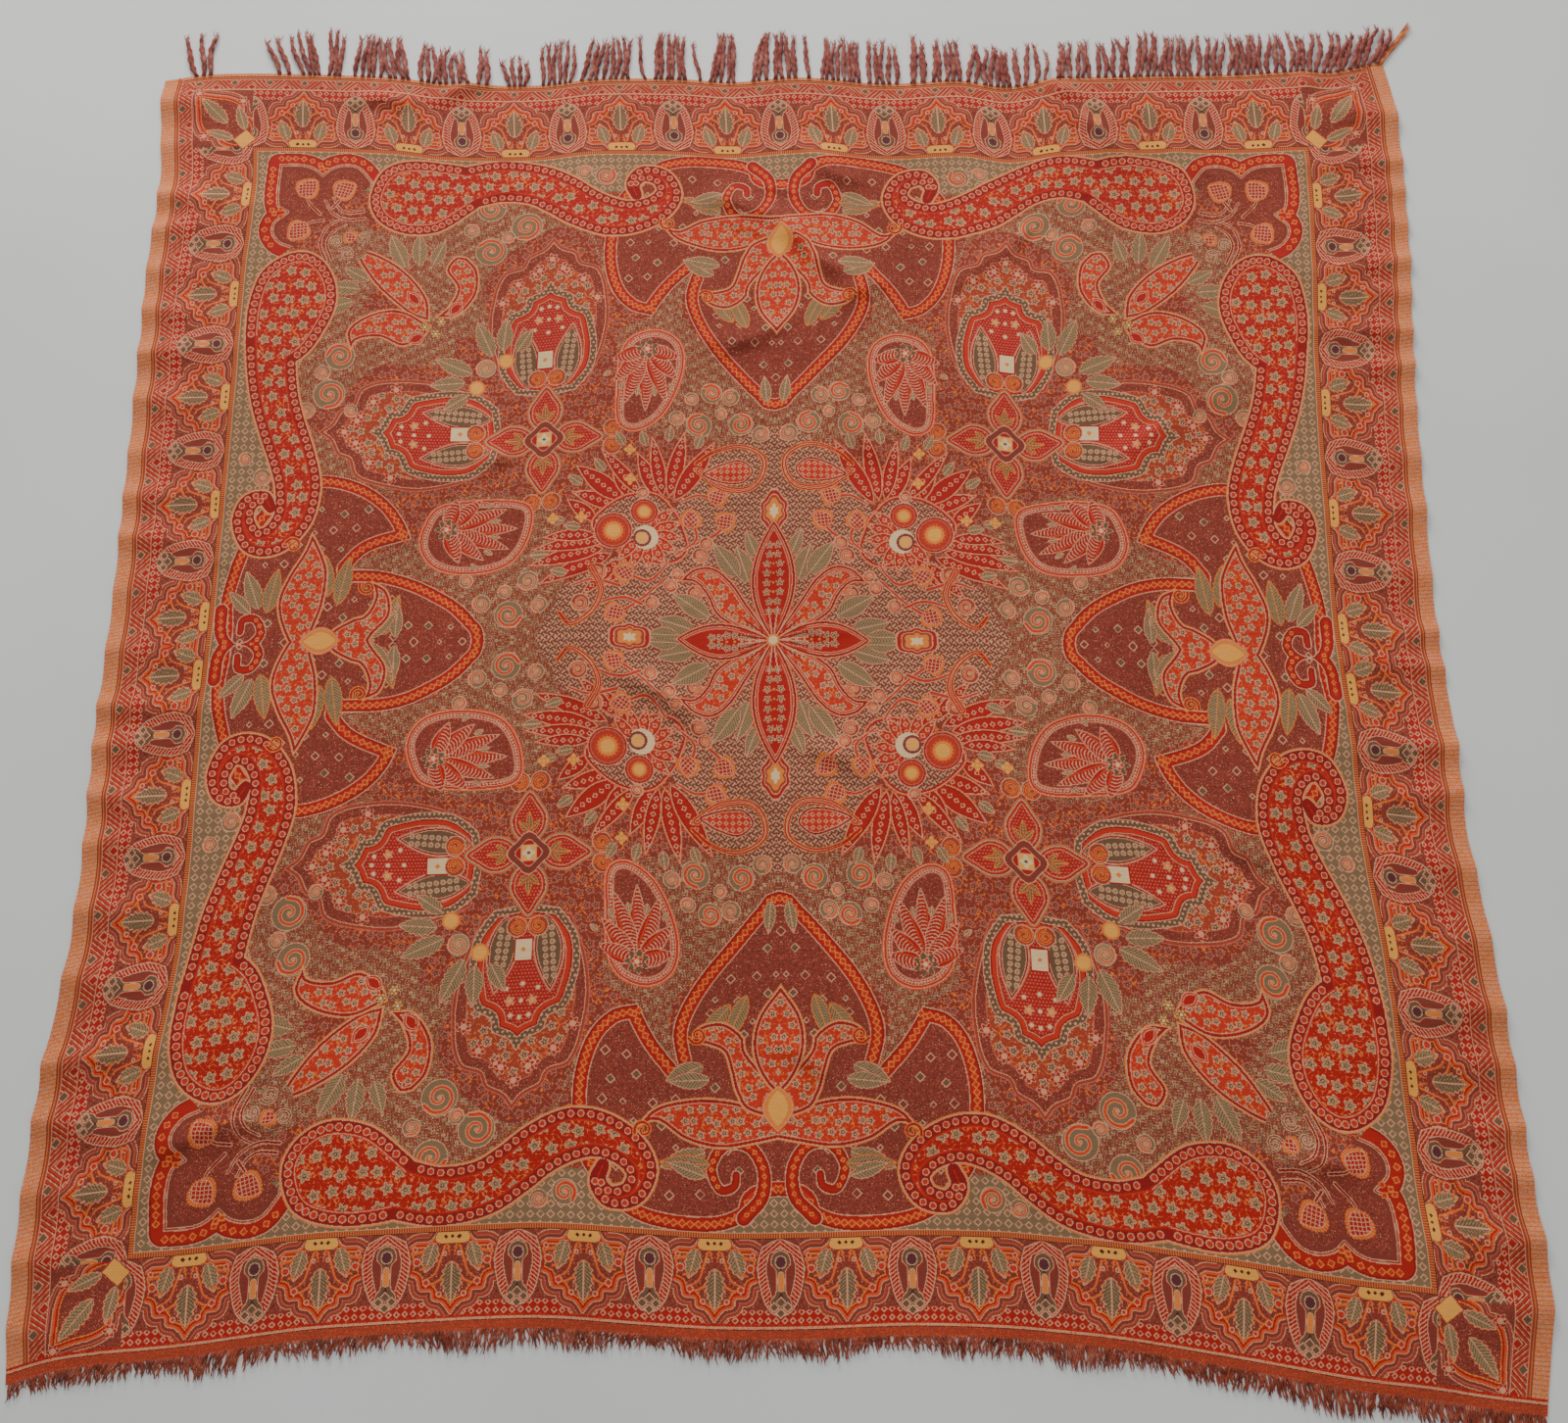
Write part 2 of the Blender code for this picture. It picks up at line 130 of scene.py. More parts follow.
SMALL_FOLDS = (
    (-62, 452, 6, 440, 1.6, 5), (14, 448, 46, 408, 2.2, 5), (52, 402, 96, 366, 1.6, 5),
    (-20, 500, 42, 478, 1.5, 5),
    (40, 520, 92, 498, 1.5, 5), (-64, 292, -10, 318, 1.5, 5), (96, 384, 124, 380, 1.1, 4),
    (176, 362, 228, 402, 1.1, 5),
    (236, 424, 284, 452, 1.1, 5), (468, 296, 420, 244, 1.4, 5), (406, 226, 352, 206, 1.3, 5),
    (310, 606, 372, 536, 1.6, 5),
    (340, 590, 392, 548, 1.2, 4), (352, 548, 398, 500, 1.4, 5), (392, 600, 436, 548, 1.2, 5),
    (400, 500, 446, 446, 1.3, 5),
    (430, 540, 470, 500, 1.0, 4), (318, 500, 356, 470, 1.0, 4), (64, 250, 108, 186, 1.4, 5),
    (8, 8, 84, 2, 1.4, 5),
    (-140, -36, -60, -100, 1.7, 5), (30, -110, 88, -138, 1.5, 5), (36, -182, 84, -202, 1.3, 4),
    (318, 204, 342, 164, 1.4, 5),
    (-286, 174, -262, 188, 1.2, 4), (508, -52, 596, -126, 1.5, 6), (410, -190, 452, -224, 1.5, 5),
    (444, -484, 510, -498, 1.4, 5),
    (-542, -478, -446, -452, 1.5, 6), (6, -384, 54, -414, 1.2, 4), (-96, 250, -40, 246, 0.9, 4),
    (-60, 226, 10, 232, 1.0, 4),
    (-30, 206, 48, 200, 0.9, 4), (20, 186, 96, 192, 1.0, 4), (-84, 172, -20, 164, 0.9, 4),
    (60, 150, 132, 146, 0.9, 4),
    (-70, 140, 0, 134, 0.9, 4), (-128, 206, -84, 190, 0.9, 4), (104, 228, 152, 206, 1.0, 4),
    (-210, 60, -150, 82, 0.8, 4),
    (190, 64, 236, 40, 0.8, 4), (-420, 20, -360, -6, 0.9, 5), (-500, 250, -452, 216, 1.0, 5),
    (-420, 330, -376, 362, 0.8, 4),
    (-300, 480, -248, 510, 0.9, 5), (-560, 80, -504, 60, 1.0, 5), (240, -300, 292, -326, 0.9, 4),
    (-240, -240, -190, -282, 0.9, 4),
    (-340, -440, -284, -470, 0.8, 4), (150, -420, 204, -444, 0.9, 4), (260, -530, 320, -548, 1.0, 5),
    (-180, -540, -120, -556, 0.9, 5),
    (560, 330, 604, 300, 1.2, 5), (540, 160, 584, 140, 1.1, 5), (556, -260, 606, -286, 1.2, 5),
    (-600, -200, -548, -226, 1.2, 5),
    (-588, 420, -540, 404, 1.1, 5), (-596, -560, -540, -542, 1.3, 5), (598, -560, 640, -584, 1.3, 5),
    (180, 560, 220, 590, 1.2, 5),
    (-180, 590, -130, 604, 1.1, 5), (-60, 604, -10, 588, 1.1, 5), (470, 612, 520, 596, 1.1, 5),
    (500, 420, 548, 400, 1.1, 5),
    (-36, 60, 22, 74, 0.7, 4), (-110, 20, -64, 34, 0.7, 4), (120, -60, 170, -84, 0.8, 4),
    (300, 20, 350, -8, 0.9, 5),
)
FOLD_OVERRUN = 0.2
FOLD_SHARE, SMALL_FOLD_SHARE = 1.25, 1.7
BROAD_CREST, SHARP_CREST = 1.5, 1.3
SLACK = 0.28
BEDDING = 0.3 * MM
CLOTH_THICKNESS = 1.0 * MM
FACES_ACROSS, FACES_ALONG = 306, 298


def eased(rows, places, column):
    """A column of a table at many places between its rows, eased through them with even slopes."""
    stops = np.array([row[0] for row in rows], float)
    values = np.array([getattr(row, column) for row in rows], float)
    index = np.clip(np.searchsorted(stops, places, side="right") - 1, 0, len(rows) - 2)
    before, after = np.maximum(index - 1, 0), np.minimum(index + 2, len(rows) - 1)
    span = stops[index + 1] - stops[index]
    share = np.clip((places - stops[index]) / span, 0, 1)
    rise0 = span * (values[index + 1] - values[before]) / (stops[index + 1] - stops[before])
    rise1 = span * (values[after] - values[index]) / (stops[after] - stops[index])
    square, cube = share**2, share**3
    return ((2 * cube - 3 * square + 1) * values[index] + (cube - 2 * square + share) * rise0
            + (3 * square - 2 * cube) * values[index + 1] + (cube - square) * rise1)


def blend(start, end, share):
    return start + (end - start) * share


def laid_out(across, along):
    """Where points of the cloth lie, in mm, from their shares of its width and of its length."""
    x = blend(*CORNERS_X, across)
    for _ in range(2):
        y = blend(eased(ENDS, x, "near"), eased(ENDS, x, "far"), along)
        x = blend(eased(SIDES, y, "left"), eased(SIDES, y, "right"), across)
    return x, y


def fold_height(x, y, folds, crest):
    """Height of folds at points in mm. Each tapers at its ends and is steeper on its lower side."""
    height = np.zeros_like(x)
    for x0, y0, x1, y1, rise, half_width in folds:
        run_x, run_y = x1 - x0, y1 - y0
        length = math.hypot(run_x, run_y)
        share = ((x - x0) * run_x + (y - y0) * run_y) / length**2
        aside = ((x - x0) * run_y - (y - y0) * run_x) / length
        bow = 0.05 * length * np.sin(share * 5.1 + x0)
        aside = aside + bow
        whole = np.clip((share + FOLD_OVERRUN) / (1 + 2 * FOLD_OVERRUN), 0, 1)
        width = half_width * np.where(aside > 0, 0.55, 1.1)
        height += rise * np.sin(np.pi * whole) ** 2 * np.exp(-(abs(aside / width) ** crest))
    return height


def ripple_height(across, x, y):
    """Height of the selvedge ripples at points in mm."""
    height = np.zeros_like(x)
    for side, sign in ((0, 1), (1, -1)):
        places = [ripple[side] for ripple in RIPPLES]
        gaps = [before - after for before, after in zip(places, places[1:])]
        spans = [RIPPLE_SHARE * min(pair) for pair in zip([gaps[0]] + gaps, gaps + [gaps[-1]])]
        inward = (across if side == 0 else 1 - across) * 1300
        for number, (ripple, span) in enumerate(zip(RIPPLES, spans)):
            rise, reach = ripple[2 + side], ripple[4 + side]
            lean = 0.12 * math.sin(number * 2.4 + side)
            aside = (y - places[number] - lean * inward) / (span * (1 + inward / (2.5 * reach)))
            bump = np.exp(-((abs(aside) * 1.5) ** 1.6))
            height += rise * 1.15 * bump * np.exp(-((inward / reach) ** 2))
    return height


def cloth_height(across, x, y):
    """How far the cloth stands above the floor at points in mm."""
    height = ripple_height(across, x, y)
    height += FOLD_SHARE * fold_height(x, y, FOLDS, BROAD_CREST)
    height += SMALL_FOLD_SHARE * fold_height(x, y, SMALL_FOLDS, SHARP_CREST)
    slack = SLACK * np.sin(x / 31 + 1.7 * np.sin(y / 47)) * np.sin(y / 37 + 1.3 * np.sin(x / 53))
    return np.maximum(height - 0.3 + slack, 0)


# The chart: a quarter of the cloth in squares of 0.7 mm, each the colour of the yarn that lies on top there.
# The sixteen yarns are maroons and browns for the grounds, reds, orange, peach and cream for the lines, and
# khakis. Figures are laid over one another, from the field's ground to the borders, in mm from the middle.
PITCH = 0.7
HALF_WIDTH, HALF_LENGTH, NEAR_LENGTH = 642.6, 630.0, 621.6
COLOURS = (
    "#86392c", "#54241d", "#931a17", "#b0201b", "#c8321f", "#dd5327", "#e88136", "#dc9a74",
    "#ecc793", "#9f8058", "#70523a", "#86694a", "#ca6450", "#f2a549", "#5f2f33", "#a5402a",
)
(GROUND, DARK, WINE, CRIMSON, RED, VERMILION, ORANGE, PEACH,
 CREAM, KHAKI, OLIVE, MOSS, ROSE, GOLD, PLUM, BRICK) = range(16)

Paper = namedtuple("Paper", "codes x y")


def new_paper(width, height, colour):
    x, y = np.meshgrid(
        (np.arange(round(width / PITCH), dtype=np.float32) + 0.5) * PITCH,
        (np.arange(round(height / PITCH), dtype=np.float32) + 0.5) * PITCH,
    )
    return Paper(np.full(x.shape, colour, np.int8), x, y)


def curve(points, closed=False, steps=7):
    """A smooth line through a few places."""
    points = np.array(points, float)
    if closed:
        points = np.concatenate([points[-1:], points, points[:2]])
    else:
        points = np.concatenate([2 * points[:1] - points[1:2], points, 2 * points[-1:] - points[-2:-1]])
    shares = np.arange(steps)[:, None] / steps
    line = []
    for before, start, end, after in zip(points, points[1:], points[2:], points[3:]):
        line.append(
            start
            + 0.5 * shares * (end - before)
            + shares**2 * (before - 2.5 * start + 2 * end - 0.5 * after)
            + shares**3 * (1.5 * start - 1.5 * end + 0.5 * after - 0.5 * before)
        )
    if not closed:
        line.append(points[-2:-1])
    return np.concatenate(line)


def outline(*runs):
    """A closed outline of smooth runs that meet in corners."""
    return np.concatenate([curve(run)[:-1] for run in runs])


def window(paper, line, margin):
    low = np.maximum(np.floor((line.min(0) - margin) / PITCH), 0).astype(int)
    high = np.ceil((line.max(0) + margin) / PITCH).astype(int)
    part = (slice(low[1], max(0, high[1])), slice(low[0], max(0, high[0])))
    return Paper(*(layer[part] for layer in paper))


def reach(part, line, closed, widths=None):
    """How far each square lies from a line, less the line's own half width there."""
    nearest = np.full(part.x.shape, 1e6, np.float32)
    inside = np.zeros(part.x.shape, bool)
    ends = np.roll(line, -1, 0) if closed else line[1:]
    for number, ((x0, y0), (x1, y1)) in enumerate(zip(line, ends)):
        run, rise = x1 - x0, y1 - y0
        share = ((part.x - x0) * run + (part.y - y0) * rise) / (run * run + rise * rise + 1e-9)
        share = np.clip(share, 0, 1)
        away = np.hypot(part.x - x0 - share * run, part.y - y0 - share * rise)
        if widths is not None:
            away = away - (widths[number] + share * (widths[number + 1] - widths[number]))
        nearest = np.minimum(nearest, away)
        if closed and rise:
            crossing = x0 + (part.y - y0) * run / rise
            inside ^= ((y0 > part.y) != (y1 > part.y)) & (part.x < crossing)
    return np.where(inside, -nearest, nearest)


def paint(part, away, bands, where=None):
    """Colours the squares that lie deeper than each band's start, the later bands over the earlier."""
    for depth, colour in bands:
        spot = away <= -depth
        if where is not None:
            spot &= where(part.x, part.y)
        if callable(colour):
            part.codes[spot] = colour(part.x[spot], part.y[spot], part.codes[spot])
        else:
            part.codes[spot] = colour


def shape(paper, line, *bands, where=None):
    margin = max(2.0, -min(depth for depth, colour in bands))
    part = window(paper, line, margin)
    if part.x.size:
        paint(part, reach(part, line, True), bands, where)


def stroke(paper, points, start_width, end_width, *bands):
    """A tapering band along a smooth line. Bands start at depths in from its sides."""
    line = curve(points)
    widths = np.linspace(start_width / 2, end_width / 2, len(line))
    margin = max(start_width, end_width) / 2 + 1
    part = window(paper, line, margin)
    if part.x.size:
        paint(part, reach(part, line, False, widths), bands)


def walk(line, spacing, inset, closed=True):
    """Places at even steps along a line, set in to its left, with the line's direction there."""
    ends = np.roll(line, -1, 0) if closed else line[1:]
    starts = line if closed else line[:-1]
    steps = ends - starts
    lengths = np.hypot(*steps.T)
    total = lengths.sum()
    count = max(1, round(total / spacing))
    marks = (np.arange(count) + 0.5) * total / count
    before = np.concatenate([[0], np.cumsum(lengths)])
    places = []
    for mark in marks:
        number = min(len(steps) - 1, np.searchsorted(before, mark) - 1)
        share = (mark - before[number]) / max(lengths[number], 1e-6)
        x, y = starts[number] + share * steps[number]
        turn = math.atan2(steps[number][1], steps[number][0])
        places.append((x - inset * math.sin(turn), y + inset * math.cos(turn), turn))
    return places


def leftward(line):
    """The outline run so that its inside is on its left."""
    x, y = line.T
    area = (x * np.roll(y, -1) - y * np.roll(x, -1)).sum()
    return line if area > 0 else line[::-1]


def stamp(paper, x, y, turn, size, draw):
    """Draws a small figure turned to a direction: draw takes places along and across it."""
    part = window(paper, np.array([[x, y]]), size)
    if not part.x.size:
        return
    along = (part.x - x) * math.cos(turn) + (part.y - y) * math.sin(turn)
    across = (part.y - y) * math.cos(turn) - (part.x - x) * math.sin(turn)
    codes = draw(along, across)
    part.codes[codes >= 0] = codes[codes >= 0]


def layers(measure, *bands):
    """Codes for a measure that falls toward a figure's middle: (limit, colour), outermost first."""
    codes = np.full(measure.shape, -1, np.int8)
    for limit, colour in bands:
        codes[measure <= limit] = colour
    return codes


def ring(radius, line, fill):
    return lambda u, v: layers(np.hypot(u, v), (radius, line), (radius - 0.9, fill))


def diamond(radius, line, fill):
    return lambda u, v: layers(abs(u) + abs(v), (radius, line), (radius - 1.25, fill))


def rosette(radius, petals, line, fill, heart):
    def draw(u, v):
        edge = radius * (0.8 + 0.2 * np.cos(petals * np.arctan2(v, u)))
        away = np.hypot(u, v) - edge
        codes = layers(away, (0, line), (-0.85, fill))
        codes[(np.hypot(u, v) < radius * 0.42)] = line
        codes[np.hypot(u, v) < radius * 0.26] = heart
        return codes
    return draw


def leaf(length, half_width, line=PEACH, fill=KHAKI, vein=OLIVE, lobes=0.0, edge=BRICK):
    """A pointed leaf from its stalk at 0 to its tip, with a rib and slanting veins."""
    def draw(u, v):
        share = np.clip(u / length, 0, 1)
        wide = half_width * np.maximum(np.sin(np.pi * share**0.8), 0) ** 0.8
        wide = wide * (1 - lobes * (0.5 + 0.5 * np.cos(u * 2 * np.pi / 5.2)))
        away = abs(v) - wide
        away[(u < 0) | (u > length)] = 9
        codes = layers(away, (0.5, edge), (-0.1, line), (-0.9, fill))
        inner = away < -0.9
        slanting = (u - abs(v) * 0.8) % 2.9
        codes[inner & (slanting < 1.0)] = vein
        codes[inner & (abs(v) < 0.45)] = line
        return codes
    return draw


def petal(length, half_width, bands, fullness=1.0):
    def draw(u, v):
        share = np.clip(u / length, 0, 1)
        wide = half_width * np.maximum(np.sin(np.pi * share**fullness), 0) ** 0.9
        away = abs(v) - wide
        away[(u < -1) | (u > length + 1)] = 9
        return layers(away, *bands)
    return draw


def spiral(paper, x, y, radius, turn, hand, *bands, width=3.0, turns=1.6):
    """A curl that winds in to its middle."""
    points = []
    for step in range(int(turns * 8) + 1):
        share = step / (turns * 8)
        angle = turn + hand * share * turns * 2 * math.pi
        away = radius * (1 - 0.85 * share)
        points.append((x + away * math.cos(angle), y + away * math.sin(angle)))
    stroke(paper, points, width, width * 0.7, *bands)


chance = np.random.default_rng(5)
SPECKS = chance.random((1024, 1024), dtype=np.float32)


def specks(x, y):
    return SPECKS[(y / PITCH).astype(int) % 1024, (x / PITCH).astype(int) % 1024]


def speckled(base, *spots):
    """A ground with odd squares of other yarns: (share, colour)."""
    def colour(x, y, under):
        codes = np.full(x.shape, base, np.int8)
        lot = specks(x, y)
        top = 1.0
        for share, spot in spots:
            codes[(lot < top) & (lot > top - share)] = spot
            top -= share
        return codes
    return colour


def dotted(base, dot, spacing, size):
    def colour(x, y, under):
        row = np.floor(y / spacing)
        u = (x / spacing + 0.5 * (row % 2)) % 1 - 0.5
        v = (y / spacing) % 1 - 0.5
        return np.where(np.hypot(u, v) * spacing < size, dot, base).astype(np.int8)
    return colour


def fretted(x, y, under):
    """Short bars laid by turns along the two diagonals, like a basket weave."""
    cell = 4.6
    u = (x + y) * 0.7071 / cell
    v = (x - y) * 0.7071 / cell
    odd = (np.floor(u) + np.floor(v)) % 2 > 0
    along = np.where(odd, u % 1, v % 1)
    across = np.where(odd, v % 1, u % 1)
    bar = ((abs(across - 0.5) < 0.12) & (along > 0.08) & (along < 0.92)) | ((abs(across - 0.5) < 0.4) & (abs(along - 0.15) < 0.1))
    codes = np.where(bar, PEACH, GROUND).astype(np.int8)
    codes[~bar & (specks(x, y) > 0.6)] = OLIVE
    return codes


def vermicelli(x, y, under):
    """A fine worm-like line all over, khaki on olive."""
    wave = np.sin(x * 1.35 + 1.9 * np.sin(y * 0.95)) + np.sin(y * 1.45 + 1.7 * np.sin(x * 1.05 + 2.0))
    codes = np.where(abs(wave) < 0.42, KHAKI, np.where(specks(x, y) > 0.7, OLIVE, GROUND)).astype(np.int8)
    codes[(abs(wave) < 0.42) & (specks(x, y) > 0.7)] = PEACH
    codes[(abs(wave) > 1.15) & (specks(x, y) > 0.4)] = BRICK
    return codes


def diamonds_on(base, line, spacing):
    def colour(x, y, under):
        u = (x / spacing) % 1 - 0.5
        v = (y / spacing) % 1 - 0.5
        size = (abs(u) + abs(v)) * spacing
        codes = np.full(x.shape, base, np.int8)
        codes[size < spacing * 0.42] = line
        codes[size < spacing * 0.42 - 1.3] = base
        return codes
    return colour


def flowery(base, line, fill, spacing, seed):
    """Small five-petalled flowers scattered on a ground with orange scrolls between them."""
    def colour(x, y, under):
        codes = np.full(x.shape, base, np.int8)
        scroll = np.sin(x * 0.55 + 2.2 * np.sin(y * 0.42)) + np.sin(y * 0.6 + 2.0 * np.sin(x * 0.5))
        codes[abs(scroll) < 0.2] = VERMILION
        codes[abs(scroll) < 0.07] = ORANGE
        row = np.floor(y / spacing)
        shift = 0.5 * (row % 2)
        column = np.floor(x / spacing + shift)
        u = ((x / spacing + shift) % 1 - 0.5) * spacing
        v = ((y / spacing) % 1 - 0.5) * spacing
        u = u - 1.6 * np.sin(column * 3.1 + row * 1.7 + seed)
        v = v - 1.6 * np.cos(column * 2.3 + row * 4.1 + seed)
        away = np.hypot(u, v)
        edge = spacing * 0.36 * (0.78 + 0.22 * np.cos(5 * np.arctan2(v, u)))
        codes[away < edge + 1.2] = base
        codes[away < edge + 0.5] = line
        codes[away < edge - 0.8] = fill
        codes[away < 1.5] = DARK
        codes[away < 0.8] = line
        return codes
    return colour


SPECKLED_GROUND = speckled(GROUND, (0.012, PEACH), (0.05, ROSE), (0.16, BRICK), (0.07, DARK))
RED_DOTS = dotted(CRIMSON, ROSE, 3.1, 0.85)
GREY_DOTS = dotted(OLIVE, PEACH, 4.4, 1.15)
FLOWERS = flowery(CRIMSON, PEACH, KHAKI, 15.5, 0.0)
SMALL_FLOWERS = flowery(RED, PEACH, KHAKI, 10.2, 1.0)
FILLER = flowery(GROUND, ROSE, OLIVE, 11.5, 2.0)
RED_FILLER = flowery(BRICK, PEACH, MOSS, 12.5, 3.0)


def beads(paper, line, spacing, inset, size, draw, where=None):
    for x, y, turn in walk(leftward(line), spacing, inset):
        if where is None or where(x, y):
            stamp(paper, x, y, turn, size, draw)


def bud(paper, x, y, turn, length=18):
    """A bud of red lattice in an orange glow of short rays."""
    def draw(u, v):
        share = np.clip((u + length * 0.45) / length, 0, 1)
        wide = length * 0.42 * np.maximum(np.sin(np.pi * share**0.7), 0) ** 0.8
        away = abs(v) - wide
        away[(u < -length * 0.5) | (u > length * 0.6)] = 9
        ray = (np.arctan2(v, u) * 14 / np.pi) % 1 < 0.55
        codes = layers(away, (3.6, ORANGE), (0.2, PEACH), (-0.7, CRIMSON))
        codes[(codes == ORANGE) & ~ray] = VERMILION
        lattice = (abs((u + v) % 5 - 2.5) < 0.5) | (abs((u - v) % 5 - 2.5) < 0.5)
        codes[(away < -0.9) & lattice] = PEACH
        return codes
    stamp(paper, x, y, turn, length, draw)


def disc(paper, x, y, radius):
    def draw(u, v):
        away = np.hypot(u, v)
        codes = layers(away, (radius, PEACH), (radius - 0.8, CRIMSON), (radius - 2.6, ROSE),
            (radius - 3.5, BRICK),
                       (radius * 0.62, VERMILION), (radius * 0.5, ORANGE), (radius * 0.36, GOLD))
        ray = (np.arctan2(v, u) * 9 / np.pi) % 1 < 0.5
        codes[ray & (away < radius - 3.5) & (away > radius * 0.5)] = RED
        return codes
    stamp(paper, x, y, 0, radius + 1, draw)


def curl(paper, x, y, radius, hand, ground=MOSS):
    """A curled tendril on a small ground of its own, with a dot at its middle."""
    stamp(paper, x, y, 0, radius + 2, ring(radius + 1.2, PEACH, ground))
    spiral(paper, x, y, radius - 0.6, 0.6 * x, hand, (0, PEACH), (0.7, VERMILION), (1.6, RED),
        width=4.4 if radius > 9 else 3.0, turns=1.5)
    stamp(paper, x, y, 0, 3, ring(1.9, PEACH, ORANGE))


def moved(points, x, y, turn):
    """A run of places turned to a direction and moved to a spot."""
    points = np.array(points, float)
    cosine, sine = math.cos(turn), math.sin(turn)
    return [(x + u * cosine - v * sine, y + u * sine + v * cosine) for u, v in points]


def feather(paper, x, y, turn, length, half_width, fill=CRIMSON):
    """A red petal with a row of small diamonds down its middle."""
    stamp(paper, x, y, turn, length + 3, petal(length, half_width,
        ((1.0, VERMILION), (0.2, PEACH), (-0.7, WINE), (-1.8, fill)), 0.8))
    for step in range(1, int(length / 7.4)):
        along = 2 + step * 7.4
        stamp(paper, x + along * math.cos(turn), y + along * math.sin(turn), turn, 4,
            diamond(2.9, PEACH, fill))


def plume(paper, x, y, turn, length, half_width):
    """A feather barred across, like a shell's ribs."""
    def draw(u, v):
        share = np.clip(u / length, 0, 1)
        wide = half_width * np.maximum(np.sin(np.pi * share**0.65), 0) ** 0.8
        away = abs(v) - wide
        away[(u < 0) | (u > length)] = 9
        codes = layers(away, (0.3, PEACH), (-0.6, CRIMSON))
        bars = (u + 0.08 * v * v) % 3.4 < 1.15
        codes[(away < -0.8) & bars & (v < half_width * 0.35)] = PEACH
        codes[(away < -0.8) & (abs(v - half_width * 0.5) < 0.4)] = VERMILION
        return codes
    stamp(paper, x, y, turn, length + 2, draw)


field = new_paper(HALF_WIDTH, HALF_LENGTH, GROUND)
field.codes[:] = FILLER(field.x, field.y, field.codes)

# The guard's ground round the edge of the field
edge_of_field = (field.x > 500) | (field.y > 490)
field.codes[edge_of_field] = diamonds_on(MOSS, PEACH, 8.6)(field.x[edge_of_field], field.y[edge_of_field],
    None)

# Worm-lined and fretted grounds between the large figures
WORM_GROUNDS = (
    [(200, -30), (296, -30), (305, 34), (345, 64), (420, 70), (352, 106), (320, 150), (225, 140), (205, 60)],
    [(-30, 200), (-30, 256), (40, 290), (96, 345), (90, 400), (128, 345), (160, 320), (140, 225), (60, 205)],
    [(470, 160), (440, 172), (400, 160), (372, 146), (420, 200), (470, 226), (430, 260), (400, 290),
    (330, 300), (340, 345),
     (440, 350), (470, 330), (500, 290), (500, 200)],
    [(185, 460), (190, 440), (180, 400), (158, 366), (180, 420), (228, 452), (280, 420), (300, 380),
    (290, 330), (345, 340),
     (372, 400), (330, 470), (290, 500), (200, 490)],
    [(400, 400), (440, 330), (470, 400), (440, 450), (400, 440), (380, 470), (340, 440), (380, 400)],
)
for points in WORM_GROUNDS:
    shape(field, outline(points + points[:1]), (0, vermicelli))
shape(field, outline([(-30, -30), (214, -30), (212, 36), (190, 62), (150, 84), (122, 98), (104, 122),
    (90, 150),
                      (68, 190), (40, 208), (-30, 208), (-30, -30)]), (0, fretted))

# Hearts at the middle of each side, edged with a red band that carries a chain of small diamonds
HEART_LEFT = outline([(278, -60), (279, 4), (290, 24), (306, 40), (325, 52), (350, 64), (380, 71), (414, 72)],
                     [(414, 72), (396, 90), (356, 106)],
                     [(356, 106), (364, 124), (379, 143), (402, 159), (430, 169), (456, 170), (490, 156),
                     (517, 122)],
                     [(517, 122), (530, 84), (538, 44), (536, 8), (536, -60)],
                     [(536, -60), (400, -60), (278, -60)])
HEART_NEAR = outline([(-60, 240), (3, 241), (22, 256), (50, 288), (72, 316), (88, 345), (94, 370), (88, 398)],
                     [(88, 398), (109, 374), (127, 345)],
                     [(127, 345), (150, 352), (168, 372), (178, 404), (179, 440), (172, 478), (150, 512)],
                     [(150, 512), (123, 529), (90, 536), (50, 535), (24, 524), (12, 508), (-60, 506)],
                     [(-60, 506), (-60, 400), (-60, 240)])
HEART_BANDS = ((0, PEACH), (1.0, WINE), (2.6, CRIMSON), (5, RED), (9, CRIMSON), (12.6, PEACH),
    (13.6, SPECKLED_GROUND))
for heart in (HEART_LEFT, HEART_NEAR):
    shape(field, heart, *HEART_BANDS)
    beads(field, heart, 7.2, 6.8, 5, diamond(3.7, ORANGE, RED))
places = chance.uniform(-5, 5, (97, 2))
number = 0
for heart in (HEART_LEFT, HEART_NEAR):
    low = np.maximum(heart.min(0), 0)
    for column in range(13):
        for row in range(16):
            x = low[0] + column * 22 + (row % 2) * 11 + places[number % 97][0]
            y = low[1] + row * 19 + places[number % 97][1]
            number += 1
            probe = Paper(None, np.array([[x]]), np.array([[y]]))
            if reach(probe, heart, True)[0, 0] < -20:
                stamp(field, x, y, 0, 6, diamond(4.6 if number % 3 else 3.2, PEACH,
                    GROUND if number % 2 else OLIVE))

# Tulips in their scalloped frames, the left one a twin of the near one
AXIS = 231
HALF_OGEE = [(0, 440), (9, 428), (24, 420), (30, 408), (46, 402), (54, 388), (58, 368), (60, 340), (54, 305),
    (40, 268)]
HALF_BAND = [(0, 390), (8, 379), (22, 372), (26, 360), (40, 352), (46, 336), (50, 310), (46, 284), (30, 262)]


def both_sides(half, turned):
    left = [(AXIS - x, y) for x, y in half]
    right = [(AXIS + x, y) for x, y in half]
    runs = (right, [right[-1], (AXIS, right[-1][1] - 4), left[-1]], left[::-1])
    return outline(*(turned(run) for run in runs))


def twin(points):
    return [(y + 15, x - 14) for x, y in points]


